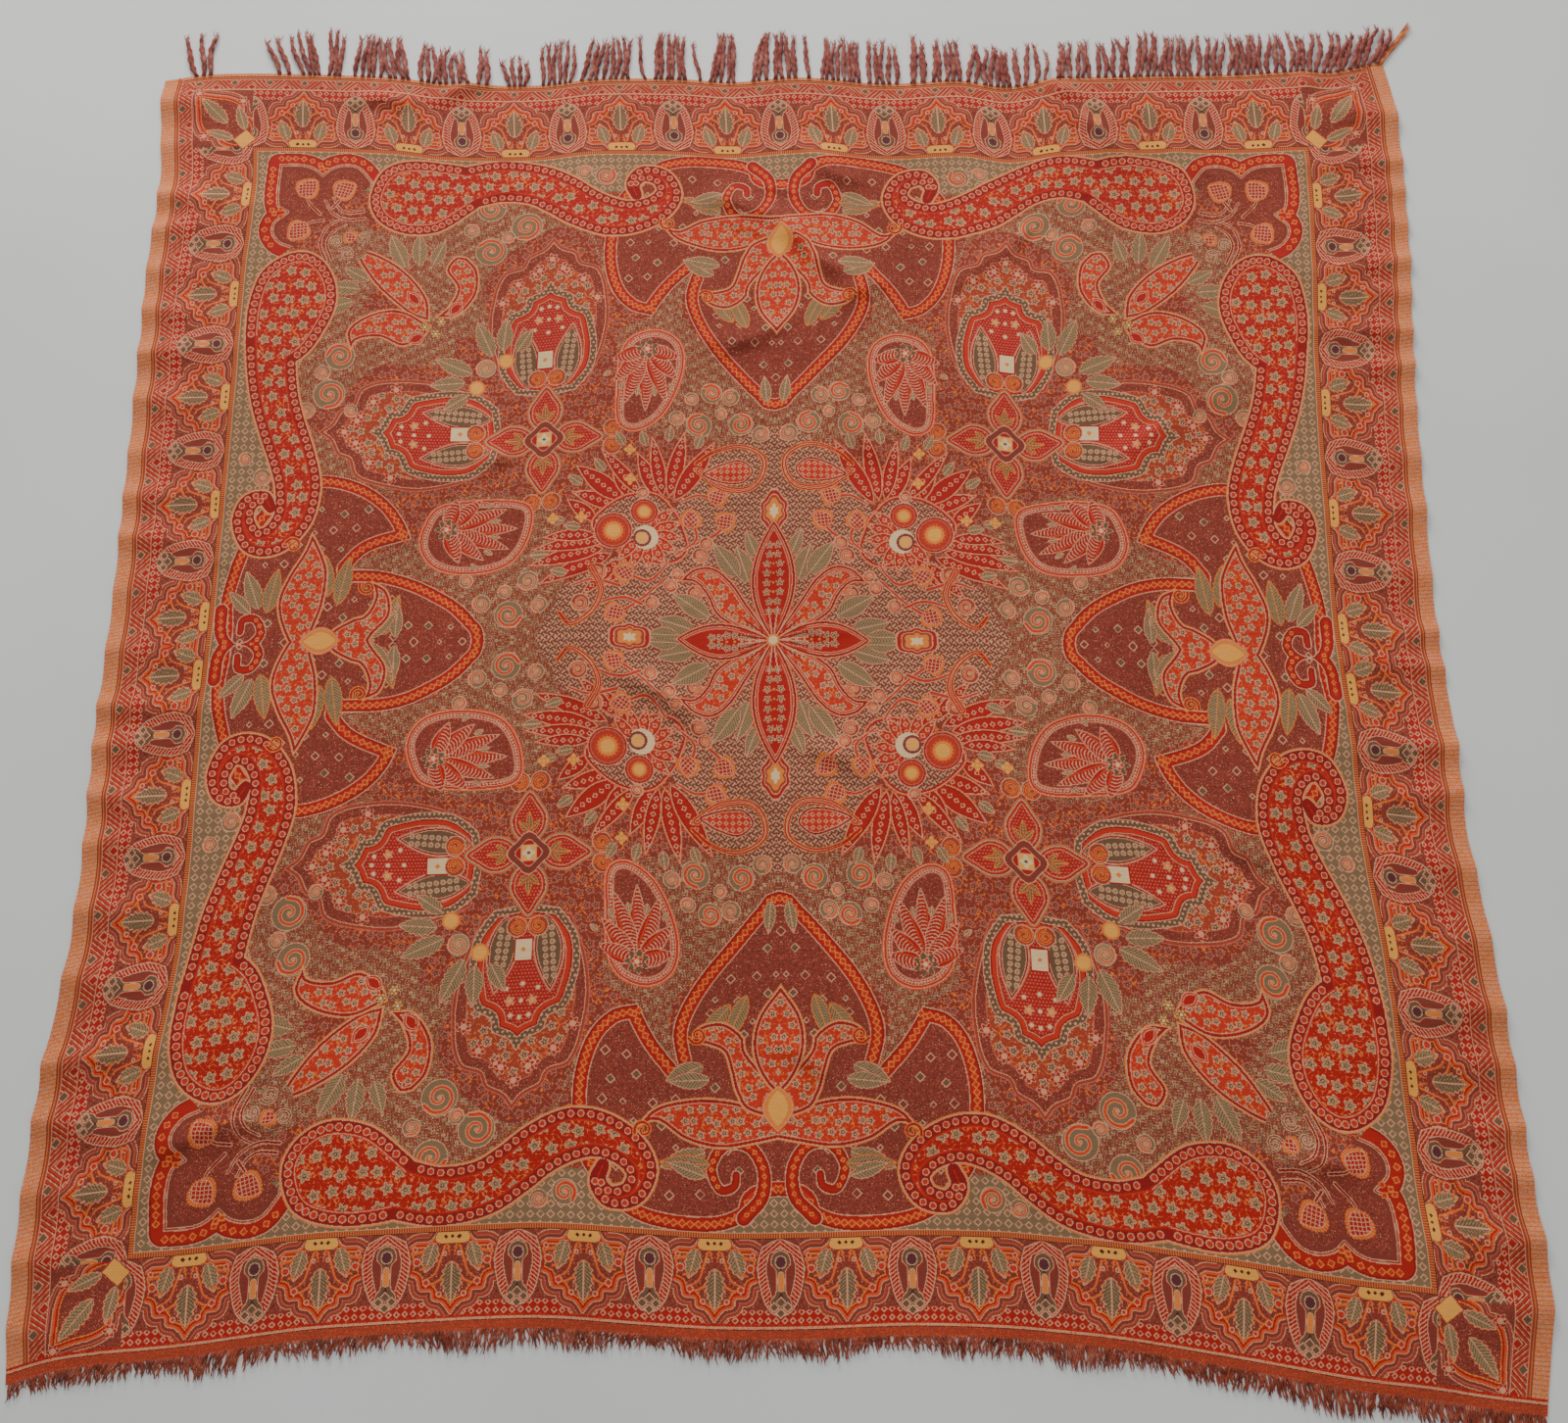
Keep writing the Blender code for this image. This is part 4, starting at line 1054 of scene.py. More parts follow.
def outer_codes(out, along, period, x, y):
    """The bands outside the palmettes, from their white line out to the selvedge or the hem."""
    codes = np.full(out.shape, ORANGE, np.int8)
    fold = abs((along / (period / 3) + 0.5) % 1 - 0.5) * period / 3
    tooth = (fold * 1.15 + out) % 5.6
    chevron = np.where(tooth < 1.2, PEACH, np.where(tooth < 2.8, BRICK, np.where(tooth < 4.2, RED, WINE)))
    for centre, at in ((0, 4.0), (period / 6, 10.5)):
        size = abs(fold - centre) + abs(out - at)
        chevron = np.where(size < 5.0, PEACH, chevron)
        chevron = np.where(size < 3.8, OLIVE if centre else CRIMSON, chevron)
    codes[out < 1.1] = PEACH
    band = (out >= 1.1) & (out < 14.2)
    codes[band] = chevron[band]
    codes[(out >= 14.2) & (out < 15.2)] = PEACH
    codes[(out >= 15.2) & (out < 18.2)] = BRICK
    codes[(out >= 17.0) & (out < 17.8)] = ORANGE
    codes[(out >= 18.2) & (out < 19.2)] = GROUND
    codes[(out > 19.2) & (specks(x, y) > 0.55)] = PEACH
    codes[(out > 19.2) & (along % 3.5 < 0.8)] = ROSE
    codes[(out > 19.2) & (specks(x, y) < 0.07)] = VERMILION
    return codes


x, y = field.x, field.y
side, end = x - SIDE_LINE, y - END_LINE
chart = Paper(field.codes.copy(), x, y)
along_side, along_end = y + V_REPEAT / 4, x
comb = np.maximum(side, end)
along_comb = np.where(side > end, y, x)
for low, high, colour in ((-5.8, -4.8, PEACH), (-4.8, -0.8, BRICK), (-0.8, 0, DARK)):
    chart.codes[(comb > low) & (comb <= high)] = colour
chart.codes[(comb > -4.8) & (comb <= -0.8) & (along_comb % 2.1 < 0.8)] = ORANGE
in_side, in_end = side > 0, end > 0
codes_side = np.where(side < SIDE_BORDER, border_codes(side, SIDE_BORDER, along_side, V_REPEAT),
                      outer_codes(side - SIDE_BORDER, y, V_REPEAT, x, y))
codes_end = np.where(end < END_BORDER, border_codes(end, END_BORDER, along_end, H_REPEAT),
                     outer_codes((end - END_BORDER) * 1.18, x, H_REPEAT, x, y))
share_side, share_end = side / SIDE_BORDER, end / END_BORDER
chart.codes[in_side & (share_side >= share_end)] = codes_side[in_side & (share_side >= share_end)]
chart.codes[in_end & (share_side < share_end)] = codes_end[in_end & (share_side < share_end)]

# The corner palmette, set slantwise
square = in_side & in_end & (side < SIDE_BORDER) & (end < END_BORDER)
chart.codes[square] = speckled(GROUND, (0.16, BRICK), (0.05, ROSE))(x, y, None)[square]
slant = math.atan2(END_BORDER, SIDE_BORDER)
CORNER_HALF = [(0, 0), (6, 14), (20, 22), (30, 20), (42, 27), (56, 22), (68, 12), (84, 0)]
corner_line = outline(moved(CORNER_HALF, SIDE_LINE + 3, END_LINE + 3, slant),
                      moved([(u, -v) for u, v in CORNER_HALF[::-1]], SIDE_LINE + 3, END_LINE + 3, slant))
shape(chart, corner_line, (-6.6, PEACH), (-5.8, BRICK), (-4.0, ROSE), (-3.2, GROUND), (-1.0, PEACH),
    (-0.2, VERMILION), (1.8, CRIMSON), (3.6, ORANGE),
      (4.6, SPECKLED_GROUND), where=lambda x,
      y: (x > SIDE_LINE) & (y > END_LINE) & (x < SIDE_LINE + SIDE_BORDER) & (y < END_LINE + END_BORDER))
for u, v, lean, length, width in ((34, 0, 0, 40, 8.5), (16, 8, 0.5, 30, 6.5), (16, -8, -0.5, 30, 6.5)):
    (px, py), = moved([(u, v)], SIDE_LINE + 3, END_LINE + 3, slant)
    stamp(chart, px, py, slant + lean, 44, leaf(length, width, PEACH, KHAKI, OLIVE, lobes=0.2,
        edge=VERMILION))
(px, py), = moved([(8, 0)], SIDE_LINE + 3, END_LINE + 3, slant)
stamp(chart, px, py, slant, 12, lambda u, v: layers(np.maximum(abs(u) * 0.9, abs(v) * 0.7), (7, BRICK),
    (6.2, GOLD)))
for px, py in ((558, 596), (598, 554), (604, 606)):
    stamp(chart, px, py, 0, 8, rosette(6.4, 6, PEACH, CRIMSON, PEACH))

# The chart is a quarter of the cloth: it is mirrored to the left and to the near end, where the hem takes up
# the last of it.
near_rows, far_rows = round(NEAR_LENGTH / PITCH), round(HALF_LENGTH / PITCH)
near_half = chart.codes[:near_rows].copy()
HEM_WIDTH = 12.6
hem_rows = slice(near_rows - round(HEM_WIDTH / PITCH), near_rows)
hem_x, hem_y = chart.x[hem_rows], chart.y[hem_rows]
stripes = np.select([hem_y > 614.2, hem_y > 613.0, hem_y > 611.4], [BRICK, DARK, PEACH], CRIMSON)
near_half[hem_rows] = np.where(specks(hem_x, hem_y) > 0.86, VERMILION, stripes)
right_half = np.concatenate([near_half[::-1], chart.codes[:far_rows]])
weave = np.concatenate([right_half[:, ::-1], right_half], 1).astype(np.int64)

# The mesh: each face holds six by six squares of the chart, a row of six in each of two attributes' parts
across, along = np.meshgrid(np.arange(FACES_ACROSS + 1) / FACES_ACROSS,
    np.arange(FACES_ALONG + 1) / FACES_ALONG)
x, y = laid_out(across, along)
z = cloth_height(across, x, y)
cad_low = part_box("shawl_cloth")[0]
SHIFT_X, SHIFT_Y = cad_low[0] - x.min() * MM, cad_low[1] - y.min() * MM


def make_sheet(name, x, y, z, thickness):
    """A woven sheet over a grid of points in mm, with faces upward, and its squares' own UV map."""
    rows, columns = x.shape
    points = np.stack([x * MM + SHIFT_X, y * MM + SHIFT_Y, z * MM + BEDDING + thickness], -1).reshape(-1, 3)
    start = (np.arange(rows - 1)[:, None] * columns + np.arange(columns - 1)).reshape(-1)
    faces = np.stack([start, start + 1, start + columns + 1, start + columns], -1)
    mesh = bpy.data.meshes.new(name)
    mesh.from_pydata(points.tolist(), [], faces.tolist())
    mesh.uv_layers.new(name="weave_square")
    mesh.uv_layers["weave_square"].data.foreach_set("uv", np.tile([0, 0, 1, 0, 1, 1, 0, 1],
        len(faces)).astype(float))
    mesh.polygons.foreach_set("use_smooth", np.ones(len(faces), bool))
    sheet = bpy.data.objects.new(name, mesh)
    bpy.context.scene.collection.objects.link(sheet)
    return sheet


cloth = make_sheet("woven_shawl", x, y, z, CLOTH_THICKNESS)
blocks = weave.reshape(FACES_ALONG, 6, FACES_ACROSS, 6).transpose(0, 2, 1, 3)
packed = (blocks * 16 ** np.arange(6)).sum(-1).reshape(-1, 6).astype(np.float32)
for name, part in (("weave_low", packed[:, :3]), ("weave_high", packed[:, 3:])):
    cloth.data.attributes.new(name, "FLOAT_VECTOR", "FACE").data.foreach_set("vector", part.reshape(-1))


def linear(colour):
    """An sRGB hex colour as the shaders' linear values."""
    parts = [int(colour[place:place + 2], 16) / 255 for place in (1, 3, 5)]
    return [*(part / 12.92 if part <= 0.04045 else ((part + 0.055) / 1.055) ** 2.4 for part in parts), 1]


def new_material(name, roughness, sheen, sheen_tint):
    material = bpy.data.materials.new(name)
    material.use_nodes = True
    shader = material.node_tree.nodes["Principled BSDF"]
    shader.inputs["Roughness"].default_value = roughness
    shader.inputs["Specular IOR Level"].default_value = 0.25
    shader.inputs["Sheen Weight"].default_value = sheen
    shader.inputs["Sheen Roughness"].default_value = 0.5
    shader.inputs["Sheen Tint"].default_value = linear(sheen_tint)
    return material, shader


def node(material, kind, inputs=(), **settings):
    """Adds a node to a material: its settings, and its inputs as values or links."""
    made = material.node_tree.nodes.new(kind)
    for key, value in settings.items():
        setattr(made, key, value)
    for key, value in dict(inputs).items():
        if isinstance(value, bpy.types.NodeSocket):
            material.node_tree.links.new(value, made.inputs[key])
        else:
            made.inputs[key].default_value = value
    return made


def ramp(material, factor, stops, interpolation="LINEAR"):
    made = node(material, "ShaderNodeValToRGB", {0: factor})
    made.color_ramp.interpolation = interpolation
    while len(made.color_ramp.elements) < len(stops):
        made.color_ramp.elements.new(0.5)
    for element, (place, colour) in zip(made.color_ramp.elements, stops):
        element.position = place
        element.color = colour if not isinstance(colour, str) else linear(colour)
    return made


# Wool twill, woven of dyed yarns: matt, faintly hairy, each yarn a little uneven in its dye. The real twill's
# lines are 0.4 mm apart, drawn here at 1.4 mm, and each square of the chart is 0.7 mm.
wool, wool_shader = new_material("woven_wool_twill", 0.92, 0.32, "#d98a70")
corner_of_square = node(wool, "ShaderNodeSeparateXYZ",
    {0: node(wool, "ShaderNodeUVMap", uv_map="weave_square").outputs[0]})


def one_of_six(share):
    """Six flags, as two vectors, of which one is 1 where a share of a face's side falls."""
    number = node(wool, "ShaderNodeMath", {0: node(
        wool, "ShaderNodeMath", {0: share, 1: 5.9999}, operation="MULTIPLY").outputs[0]},
        operation="FLOOR").outputs[0]
    flags = [node(wool, "ShaderNodeMath", {0: number, 1: float(step), 2: 0.25},
        operation="COMPARE").outputs[0] for step in range(6)]
    return [node(wool, "ShaderNodeCombineXYZ",
        dict(enumerate(flags[first:first + 3]))).outputs[0] for first in (0, 3)]


def picked(flags, low, high):
    halves = [node(wool, "ShaderNodeVectorMath", {0: flag, 1: values},
        operation="DOT_PRODUCT").outputs["Value"]
              for flag, values in zip(flags, (low, high))]
    return node(wool, "ShaderNodeMath", {0: halves[0], 1: halves[1]}, operation="ADD").outputs[0]


low_rows, high_rows = (node(wool, "ShaderNodeAttribute",
    attribute_name=name).outputs["Vector"] for name in ("weave_low", "weave_high"))
row_value = picked(one_of_six(corner_of_square.outputs[1]), low_rows, high_rows)
place_value = picked(one_of_six(corner_of_square.outputs[0]), (1, 16, 256), (4096, 65536, 1048576))
shifted = node(wool, "ShaderNodeMath", {0: row_value, 1: place_value}, operation="DIVIDE").outputs[0]
whole = node(wool, "ShaderNodeMath", {0: shifted}, operation="FLOOR").outputs[0]
digit = node(wool, "ShaderNodeMath", {0: whole, 1: 16.0}, operation="MODULO").outputs[0]
factor = node(wool, "ShaderNodeMath", {0: digit, 1: 1 / 16, 2: 0.5 / 16}, operation="MULTIPLY_ADD").outputs[0]
yarn = ramp(wool, factor, [(number / 16, colour) for number, colour in enumerate(COLOURS)], "CONSTANT")
place = node(wool, "ShaderNodeTexCoord").outputs["Object"]
fade = node(wool, "ShaderNodeTexNoise", {"Vector": place, "Scale": 7.0, "Detail": 3.0, "Roughness": 0.6})
wefts = node(wool, "ShaderNodeMapping", {"Vector": place, "Scale": (60, 900, 60)})
streaks = node(wool, "ShaderNodeTexNoise", {"Vector": wefts.outputs[0], "Scale": 1.0, "Detail": 2.0})
uneven = node(wool, "ShaderNodeMath", {0: fade.outputs[0], 1: streaks.outputs[0]}, operation="ADD")
tone = node(wool, "ShaderNodeMapRange", {0: uneven.outputs[0], 1: 0.7, 2: 1.3, 3: 0.86, 4: 1.14})
dyed = node(wool, "ShaderNodeVectorMath", {0: yarn.outputs[0], 3: tone.outputs[0]}, operation="SCALE")
wool.node_tree.links.new(dyed.outputs[0], wool_shader.inputs["Base Color"])
twill = node(wool, "ShaderNodeTexWave", {"Vector": place, "Scale": 230.0, "Distortion": 0.6, "Detail": 1.0,
    "Detail Scale": 3.0}, bands_direction="DIAGONAL")
hairs = node(wool, "ShaderNodeTexNoise", {"Vector": place, "Scale": 650.0, "Detail": 3.0})
surface = node(wool, "ShaderNodeMath", {0: twill.outputs[1], 1: hairs.outputs[0]}, operation="ADD")
bump = node(wool, "ShaderNodeBump", {"Height": surface.outputs[0], "Strength": 0.35, "Distance": 0.0005})
wool.node_tree.links.new(bump.outputs[0], wool_shader.inputs["Normal"])
cloth.data.materials.append(wool)
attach(cloth, "root")
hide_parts("shawl_cloth")


# The reverse of the cloth: the same wefts float loose across the back, so the pattern is only half seen there
# in short bars of mixed colours. Its rim turns up to meet the right side.
REVERSE_STEP = 2
reverse = make_sheet("woven_reverse", *(grid[::REVERSE_STEP, ::REVERSE_STEP] for grid in (x, y, z)), 0)
reverse.data.flip_normals()
rim_form = bmesh.new()
rim_form.from_mesh(reverse.data)
rim = [edge for edge in rim_form.edges if edge.is_boundary]
raised = bmesh.ops.extrude_edge_only(rim_form, edges=rim)
bmesh.ops.translate(rim_form, verts=[item for item in raised["geom"] if isinstance(item, bmesh.types.BMVert)],
                    vec=(0, 0, CLOTH_THICKNESS))
rim_form.to_mesh(reverse.data)
rim_form.free()
back, back_shader = new_material("loose_weft_reverse", 0.95, 0.35, "#d98a70")
place = node(back, "ShaderNodeTexCoord").outputs["Object"]
bars = node(back, "ShaderNodeMapping", {"Vector": place, "Scale": (170, 1100, 100)})
lot = node(back, "ShaderNodeTexNoise", {"Vector": bars.outputs[0], "Scale": 1.0, "Detail": 1.0})
mixed = ramp(back, lot.outputs[0], [(0.0, "#4d2620"), (0.36, "#74382e"), (0.44, "#a52622"), (0.5, "#99422f"),
                                    (0.56, "#cf5230"), (0.62, "#96825f"), (0.7, "#d69c7c")])
back.node_tree.links.new(mixed.outputs[0], back_shader.inputs["Base Color"])
ribs = node(back, "ShaderNodeTexNoise", {"Vector": bars.outputs[0], "Scale": 1.6, "Detail": 2.0})
bump = node(back, "ShaderNodeBump", {"Height": ribs.outputs[0], "Strength": 0.4, "Distance": 0.0006})
back.node_tree.links.new(bump.outputs[0], back_shader.inputs["Normal"])
reverse.data.materials.append(back)
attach(reverse, "root")


# The far end's warp ends: bunches of wool threads twisted by hand into soft two-ply tassels, each with an
# untwisted, hairy tip. They lie on the floor, most of them straight out, some leaning or curled back.
Bunch = namedtuple("Bunch", "root0 root1 tip0 tip1 count length width")
BUNCHES = (
    Bunch(-618, -604, -632, -603, 3, 54, 4.2), Bunch(-529, -519, -546, -534, 2, 44, 4.0),
    Bunch(-503, -486, -520, -498, 4, 52, 3.6), Bunch(-476, -466, -479, -465, 3, 55, 3.8),
    Bunch(-448, -421, -443, -424, 5, 50, 3.6), Bunch(-411, -390, -419, -400, 4, 51, 4.0),
    Bunch(-377, -350, -378, -353, 5, 45, 4.0), Bunch(-342, -326, -346, -336, 3, 43, 4.0),
    Bunch(-314, -306, -314, -308, 2, 48, 4.4), Bunch(-283, -266, -292, -264, 4, 34, 3.6),
    Bunch(-246, -217, -248, -215, 6, 51, 3.4), Bunch(-205, -190, -195, -183, 3, 50, 4.0),
    Bunch(-181, -155, -178, -155, 5, 50, 3.8), Bunch(-137, -137, -144, -144, 1, 50, 3.0),
    Bunch(-126, -95, -124, -98, 6, 58, 4.0), Bunch(-78, -78, -86, -86, 1, 52, 3.0),
    Bunch(-68, -42, -58, -44, 5, 62, 3.6), Bunch(-22, -14, -15, -9, 2, 56, 4.0),
    Bunch(-6, 10, -5, 9, 3, 60, 4.2), Bunch(18, 25, 17, 24, 2, 55, 4.4),
    Bunch(38, 38, 35, 35, 1, 56, 3.6), Bunch(53, 64, 56, 66, 3, 50, 3.6),
    Bunch(71, 92, 71, 90, 5, 54, 3.6), Bunch(103, 133, 102, 131, 5, 52, 4.0),
    Bunch(147, 152, 148, 153, 1, 57, 5.6), Bunch(162, 162, 162, 162, 1, 51, 5.6),
    Bunch(173, 200, 172, 196, 5, 50, 4.2), Bunch(209, 218, 214, 222, 2, 46, 4.2),
    Bunch(227, 253, 231, 250, 5, 48, 4.2), Bunch(262, 262, 259, 259, 1, 51, 5.2),
    Bunch(270, 282, 275, 282, 2, 50, 4.2), Bunch(292, 292, 295, 295, 1, 40, 3.0),
    Bunch(305, 318, 308, 319, 3, 42, 4.2), Bunch(326, 340, 329, 338, 3, 47, 3.6),
    Bunch(350, 358, 351, 357, 2, 46, 4.0), Bunch(366, 381, 368, 382, 3, 50, 4.0),
    Bunch(388, 402, 396, 411, 3, 52, 4.2), Bunch(409, 434, 415, 437, 5, 48, 3.8),
    Bunch(441, 456, 443, 458, 3, 50, 4.0), Bunch(466, 480, 470, 488, 3, 46, 4.2),
    Bunch(490, 504, 496, 506, 3, 48, 4.2), Bunch(511, 524, 515, 526, 3, 47, 4.0),
    Bunch(532, 549, 536, 550, 3, 46, 4.2), Bunch(557, 568, 560, 571, 3, 46, 3.8),
    Bunch(576, 583, 584, 592, 2, 50, 4.2), Bunch(591, 649, 604, 668, 9, 48, 4.4),
)
PLY_TURN = 11.0
FLOOR_CLEARANCE = 0.3


def far_edge(x_at):
    return np.interp(x_at, x[-1], y[-1]), np.interp(x_at, x[-1], z[-1])


def near_edge(x_at):
    return np.interp(x_at, x[0], y[0]), np.interp(x_at, x[0], z[0])


class Threads:
    """Gathers many small tubes into one mesh, each along points in mm with a section at each."""

    def __init__(self):
        self.points, self.faces = [], []

    def tube(self, line, widths, heights, sides=3, plies=0.0, twist=0.0):
        line = np.array(line, float)
        runs = np.gradient(line, axis=0)
        runs /= np.linalg.norm(runs, axis=1)[:, None]
        aside = np.stack([runs[:, 1], -runs[:, 0], np.zeros(len(runs))], -1)
        aside /= np.maximum(np.linalg.norm(aside, axis=1), 1e-6)[:, None]
        up = np.cross(aside, runs)
        far = np.concatenate([[0], np.cumsum(np.linalg.norm(np.diff(line, axis=0), axis=1))])
        first = len(self.points)
        for centre, side, rise, width, height, at in zip(line, aside, up, widths, heights, far):
            for corner in range(sides):
                turn = 2 * math.pi * corner / sides
                size = 1 + plies * math.cos(2 * (turn - twist * at))
                place = centre + side * math.cos(turn) * size * width / 2 + rise * math.sin(turn) * size * height / 2
                self.points.append(place)
        last = len(line) - 1
        for ring_number in range(last):
            for corner in range(sides):
                one = first + ring_number * sides + corner
                two = first + ring_number * sides + (corner + 1) % sides
                self.faces.append((one, one + sides, two + sides, two))
        self.faces.append(tuple(first + corner for corner in range(sides)))
        self.faces.append(tuple(first + last * sides + corner for corner in reversed(range(sides))))

    def finish(self, name, material):
        points = np.array(self.points)
        points[:, 2] = np.maximum(points[:, 2], FLOOR_CLEARANCE)
        points = points * MM + (SHIFT_X, SHIFT_Y, 0)
        mesh = bpy.data.meshes.new(name)
        mesh.from_pydata(points.tolist(), [], self.faces)
        mesh.polygons.foreach_set("use_smooth", np.ones(len(self.faces), bool))
        mesh.materials.append(material)
        made = bpy.data.objects.new(name, mesh)
        bpy.context.scene.collection.objects.link(made)
        form = bmesh.new()
        form.from_mesh(mesh)
        bmesh.ops.recalc_face_normals(form, faces=form.faces)
        form.to_mesh(mesh)
        form.free()
        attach(made, "root")
        return made


def warp_yarn(name, stops, pitch):
    """Wool yarn of the warp: matt and hairy, its dye uneven from thread to thread."""
    material, shader = new_material(name, 0.95, 0.4, "#c88a78")
    place = node(material, "ShaderNodeTexCoord").outputs["Object"]
    patches = node(material, "ShaderNodeTexNoise", {"Vector": place, "Scale": pitch, "Detail": 4.0,
        "Roughness": 0.7})
    colours = ramp(material, patches.outputs[0], stops)
    material.node_tree.links.new(colours.outputs[0], shader.inputs["Base Color"])
    fibres = node(material, "ShaderNodeTexNoise", {"Vector": place, "Scale": 1400.0, "Detail": 2.0})
    bump = node(material, "ShaderNodeBump", {"Height": fibres.outputs[0], "Strength": 0.5,
        "Distance": 0.0004})
    material.node_tree.links.new(bump.outputs[0], shader.inputs["Normal"])
    return material


twisted_yarn = warp_yarn("twisted_wool_warp", [(0.3, "#5a2a26"), (0.45, "#86423b"), (0.58, "#a05a50"),
    (0.72, "#bf8276")], 130.0)
tassels = Threads()
lot = random.Random(7)


def tassel(root_x, root_y, root_z, tip_x, length, width, curl):
    """One tassel from the cloth's edge: a twisted cord, then a splay of loose hairs."""
    steps = 15
    bow = lot.uniform(-1, 1) * 2.6
    wave = lot.uniform(0, 6.28)
    line, widths, heights = [], [], []
    for number in range(steps + 1):
        share = number / steps
        sway = math.sin(share * math.pi) * bow + 0.8 * math.sin(share * 7 + wave)
        line.append((blend(root_x, tip_x, share) + sway + curl * share**3, root_y + length * share,
                     blend(root_z, 1.6, share) + 1.5 + 0.9 * math.sin(share * math.pi) + 0.4 * math.sin(share * 9 + wave)))
        thin = 1.45 * width * (0.62 + 0.34 * math.sin(math.pi * min(1,
            share * 1.15)) + 0.05 * math.sin(share * 21 + wave))
        widths.append(thin * (1.0 if number < steps else 0.6))
        heights.append(min(thin, 4.2) * (0.85 if number < steps else 0.5))
    tassels.tube(line, widths, heights, sides=8, plies=0.3, twist=2 * math.pi / PLY_TURN / 2)
    tip = line[-1]
    for _ in range(7):
        lean = lot.uniform(-0.55, 0.55)
        reach = lot.uniform(4, 10)
        end = (tip[0] + reach * math.sin(lean) + lot.uniform(-0.8, 0.8), tip[1] + reach * math.cos(lean),
            lot.uniform(0.8, 2.6))
        start = (tip[0] + lot.uniform(-0.9, 0.9), tip[1] - 3, tip[2])
        half = [(one + two) / 2 + lot.uniform(-0.8, 0.8) for one, two in zip(start, end)]
        tassels.tube((start, half, end), (1.1, 0.9, 0.35), (0.9, 0.7, 0.3))
    for _ in range(4):
        at = lot.uniform(0.25, 0.95)
        here = line[round(at * steps)]
        side = lot.choice((-1, 1))
        end = (here[0] + side * lot.uniform(2, 4.5), here[1] + lot.uniform(1, 7),
            here[2] + lot.uniform(-1.0, 0.6))
        half = [(one + two) / 2 + lot.uniform(-0.4, 0.4) for one, two in zip(here, end)]
        tassels.tube((here, half, end), (0.5, 0.45, 0.25), (0.5, 0.4, 0.25))


for bunch in BUNCHES:
    for number in range(bunch.count):
        share = number / (bunch.count - 1) if bunch.count > 1 else 0.5
        root = blend(bunch.root0, bunch.root1, share)
        edge_y, edge_z = far_edge(root)
        tassel(root, edge_y - 1.0, edge_z, blend(bunch.tip0, bunch.tip1, share) + lot.uniform(-1.2, 1.2),
               bunch.length + lot.uniform(-5, 3) - 4, bunch.width,
               lot.uniform(-3, 3) if lot.random() < 0.3 else 0)
far_tassels = tassels.finish("twisted_tassels", twisted_yarn)
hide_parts("far_fringe")


# The orange tassel at the far right corner: the selvedge's own bright warps, left long and loose, lying
# slantwise off the corner.
orange_yarn = warp_yarn("orange_wool_warp", [(0.3, "#a8482c"), (0.5, "#d27a48"), (0.7, "#e6a878")], 160.0)
orange = Threads()
corner_y, corner_z = far_edge(655)
for _ in range(16):
    start = (652 + lot.uniform(-4, 3), corner_y - 3 + lot.uniform(-2, 2), corner_z + 1.6)
    end = (690 + lot.uniform(-5, 3), corner_y + 48 + lot.uniform(-7, 5), lot.uniform(0.9, 2.6))
    line = [[blend(one, two, share) + lot.uniform(-0.6, 0.6) for one,
        two in zip(start, end)] for share in (0, 0.25, 0.5, 0.75, 1)]
    orange.tube(line, (1.5, 1.6, 1.5, 1.2, 0.4), (1.2, 1.3, 1.2, 0.9, 0.4))
orange_tassel = orange.finish("orange_corner_tassel", orange_yarn)


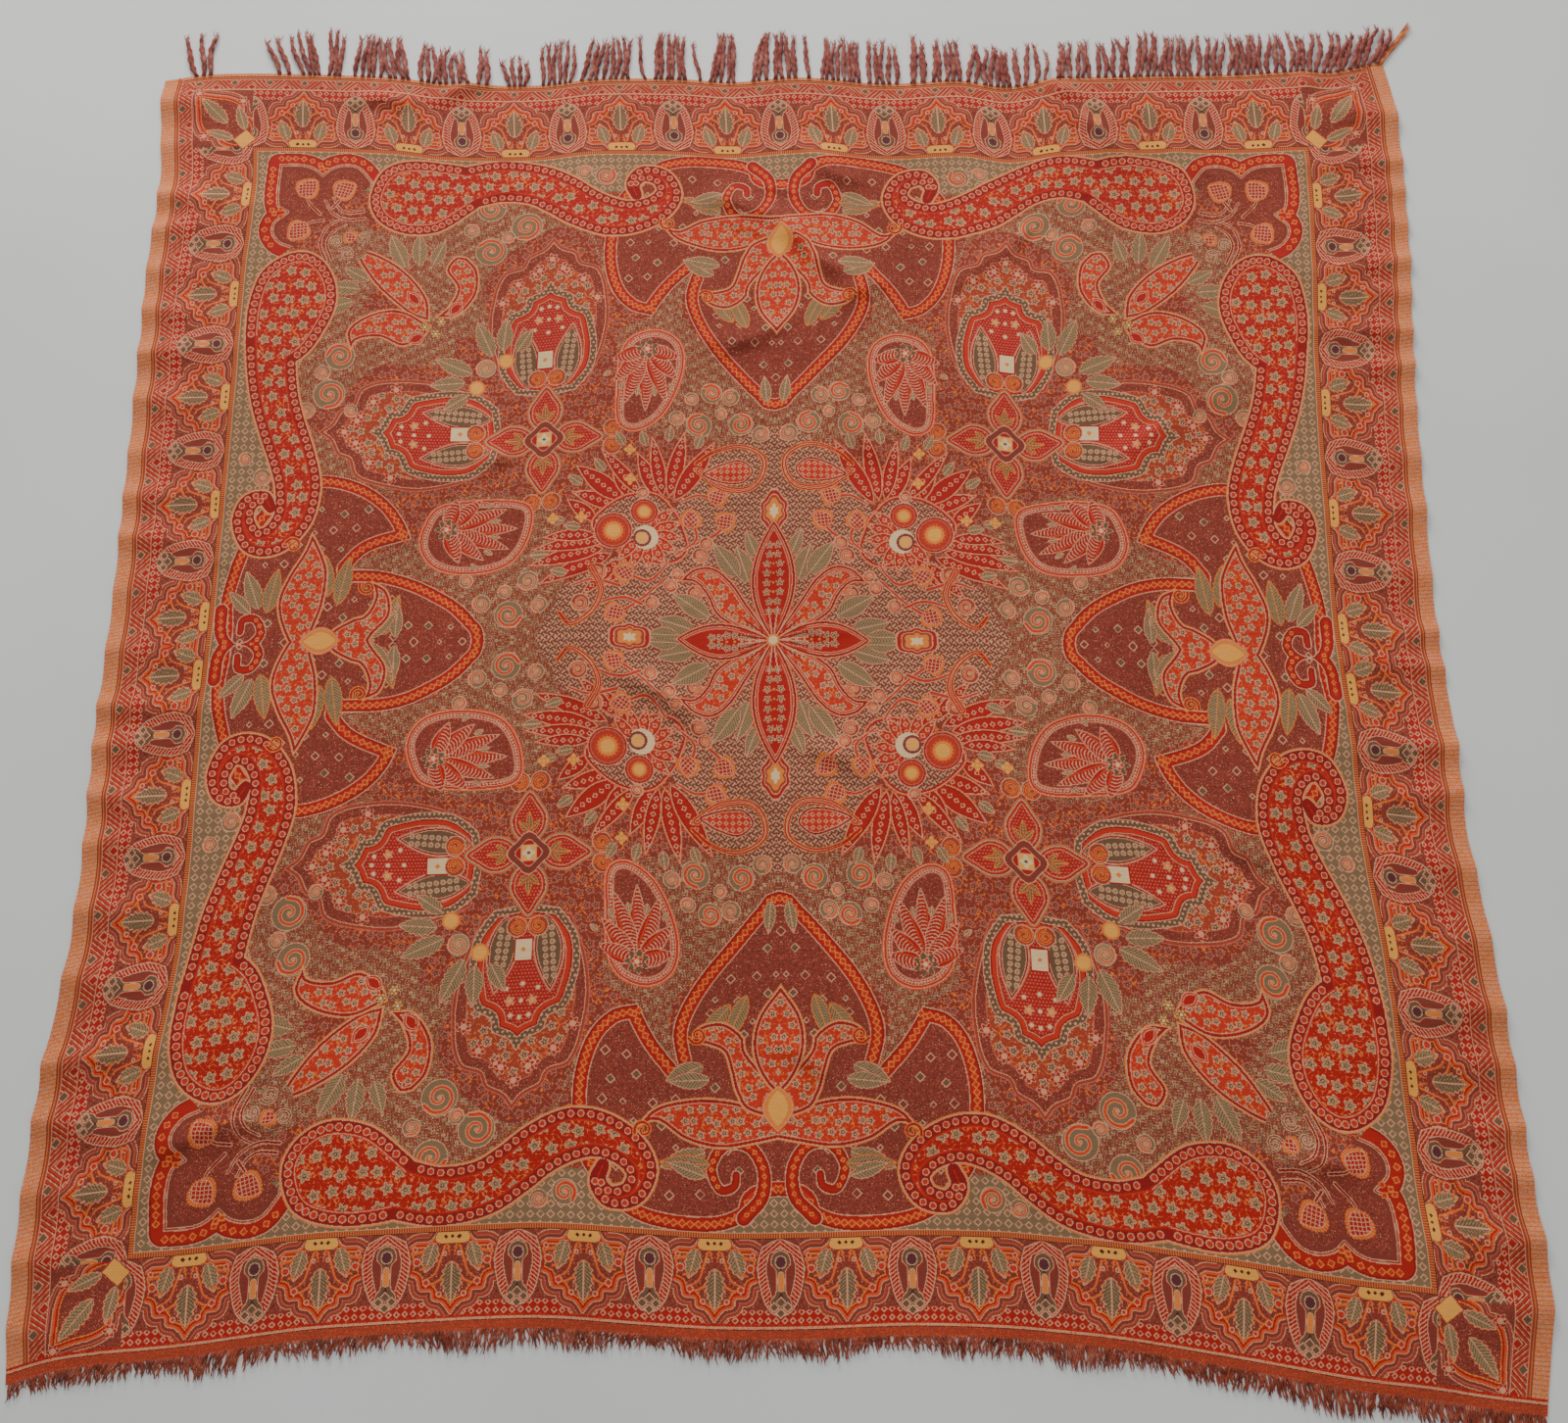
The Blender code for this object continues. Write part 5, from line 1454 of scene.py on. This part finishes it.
# The near end's warp ends: cut short and left to fray, a thick row of crimped rust-brown threads of uneven
# length, matted here and there into locks.
frayed_yarn = warp_yarn("frayed_wool_warp", [(0.3, "#5e2a1e"), (0.48, "#96432f"), (0.6, "#b0563f"),
    (0.75, "#c98468")], 90.0)
frayed = Threads()
FRAY_PITCH = 0.8
start, stop = x[0][0] + 4, x[0][-1] - 3
root = start
while root < stop:
    edge_y, edge_z = near_edge(root)
    length = lot.uniform(9, 19) + 5 * math.sin(root / 23) * math.sin(root / 61) + 7 * max(0, root / stop) ** 2
    lean = lot.uniform(-4, 4) + 3 * math.sin(root / 17)
    crimp = lot.uniform(0.5, 1.6)
    wave = lot.uniform(0, 6.28)
    line = []
    for number in range(6):
        share = number / 5
        line.append((root + lean * share + crimp * math.sin(share * 6 + wave), edge_y + 1.0 - length * share,
                     max(0.7, blend(edge_z + 1.0, lot.uniform(0.7, 2.4),
                     share) + 0.5 * math.sin(share * 5 + wave))))
    thick = lot.uniform(0.9, 2.1)
    frayed.tube(line, [thick, thick * 1.1, thick, thick * 0.9, thick * 0.7, 0.25], [thick * 0.9] * 5 + [0.25])
    root += FRAY_PITCH * lot.uniform(0.6, 1.4)
near_fray = frayed.finish("frayed_warp_ends", frayed_yarn)
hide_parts("near_fringe")


# The studio: a plain pale floor and soft light, the strongest from beyond the far end as from a window.
bpy.ops.mesh.primitive_plane_add(size=12, location=(0, 0, 0))
floor = bpy.context.object
floor.name = floor.data.name = "studio_floor"
floor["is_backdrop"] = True
paint_on_floor, floor_shader = new_material("matt_pale_floor", 0.8, 0, "#ffffff")
mottle = node(paint_on_floor, "ShaderNodeTexNoise",
    {"Vector": node(paint_on_floor, "ShaderNodeTexCoord").outputs["Object"], "Scale": 3.0})
pale = ramp(paint_on_floor, mottle.outputs[0], [(0.3, "#e2e2de"), (0.7, "#e9e9e6")])
paint_on_floor.node_tree.links.new(pale.outputs[0], floor_shader.inputs["Base Color"])
floor.data.materials.append(paint_on_floor)
for name, place, aim, size, power in (
    ("window_light", (-0.6, 3.0, 1.15), (0, 0.0, 0), 1.4, 105),
    ("ceiling_light", (0.3, -0.3, 3.2), (0, 0, 0), 2.6, 34),
):
    data = bpy.data.lights.new(name, "AREA")
    data.size = size
    data.energy = power
    data.color = (1.0, 0.985, 0.965)
    light = bpy.data.objects.new(name, data)
    light.location = place
    light.rotation_euler = (Vector(place) - Vector(aim)).to_track_quat("Z", "Y").to_euler()
    bpy.context.scene.collection.objects.link(light)
world = bpy.data.worlds.new("soft_room")
bpy.context.scene.world = world
world.use_nodes = True
world.node_tree.nodes["Background"].inputs[0].default_value = (0.9, 0.94, 1.0, 1)
world.node_tree.nodes["Background"].inputs[1].default_value = 0.32

[[list(map(float, corner)) for corner in box] for box in (cad_bounds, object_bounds())]
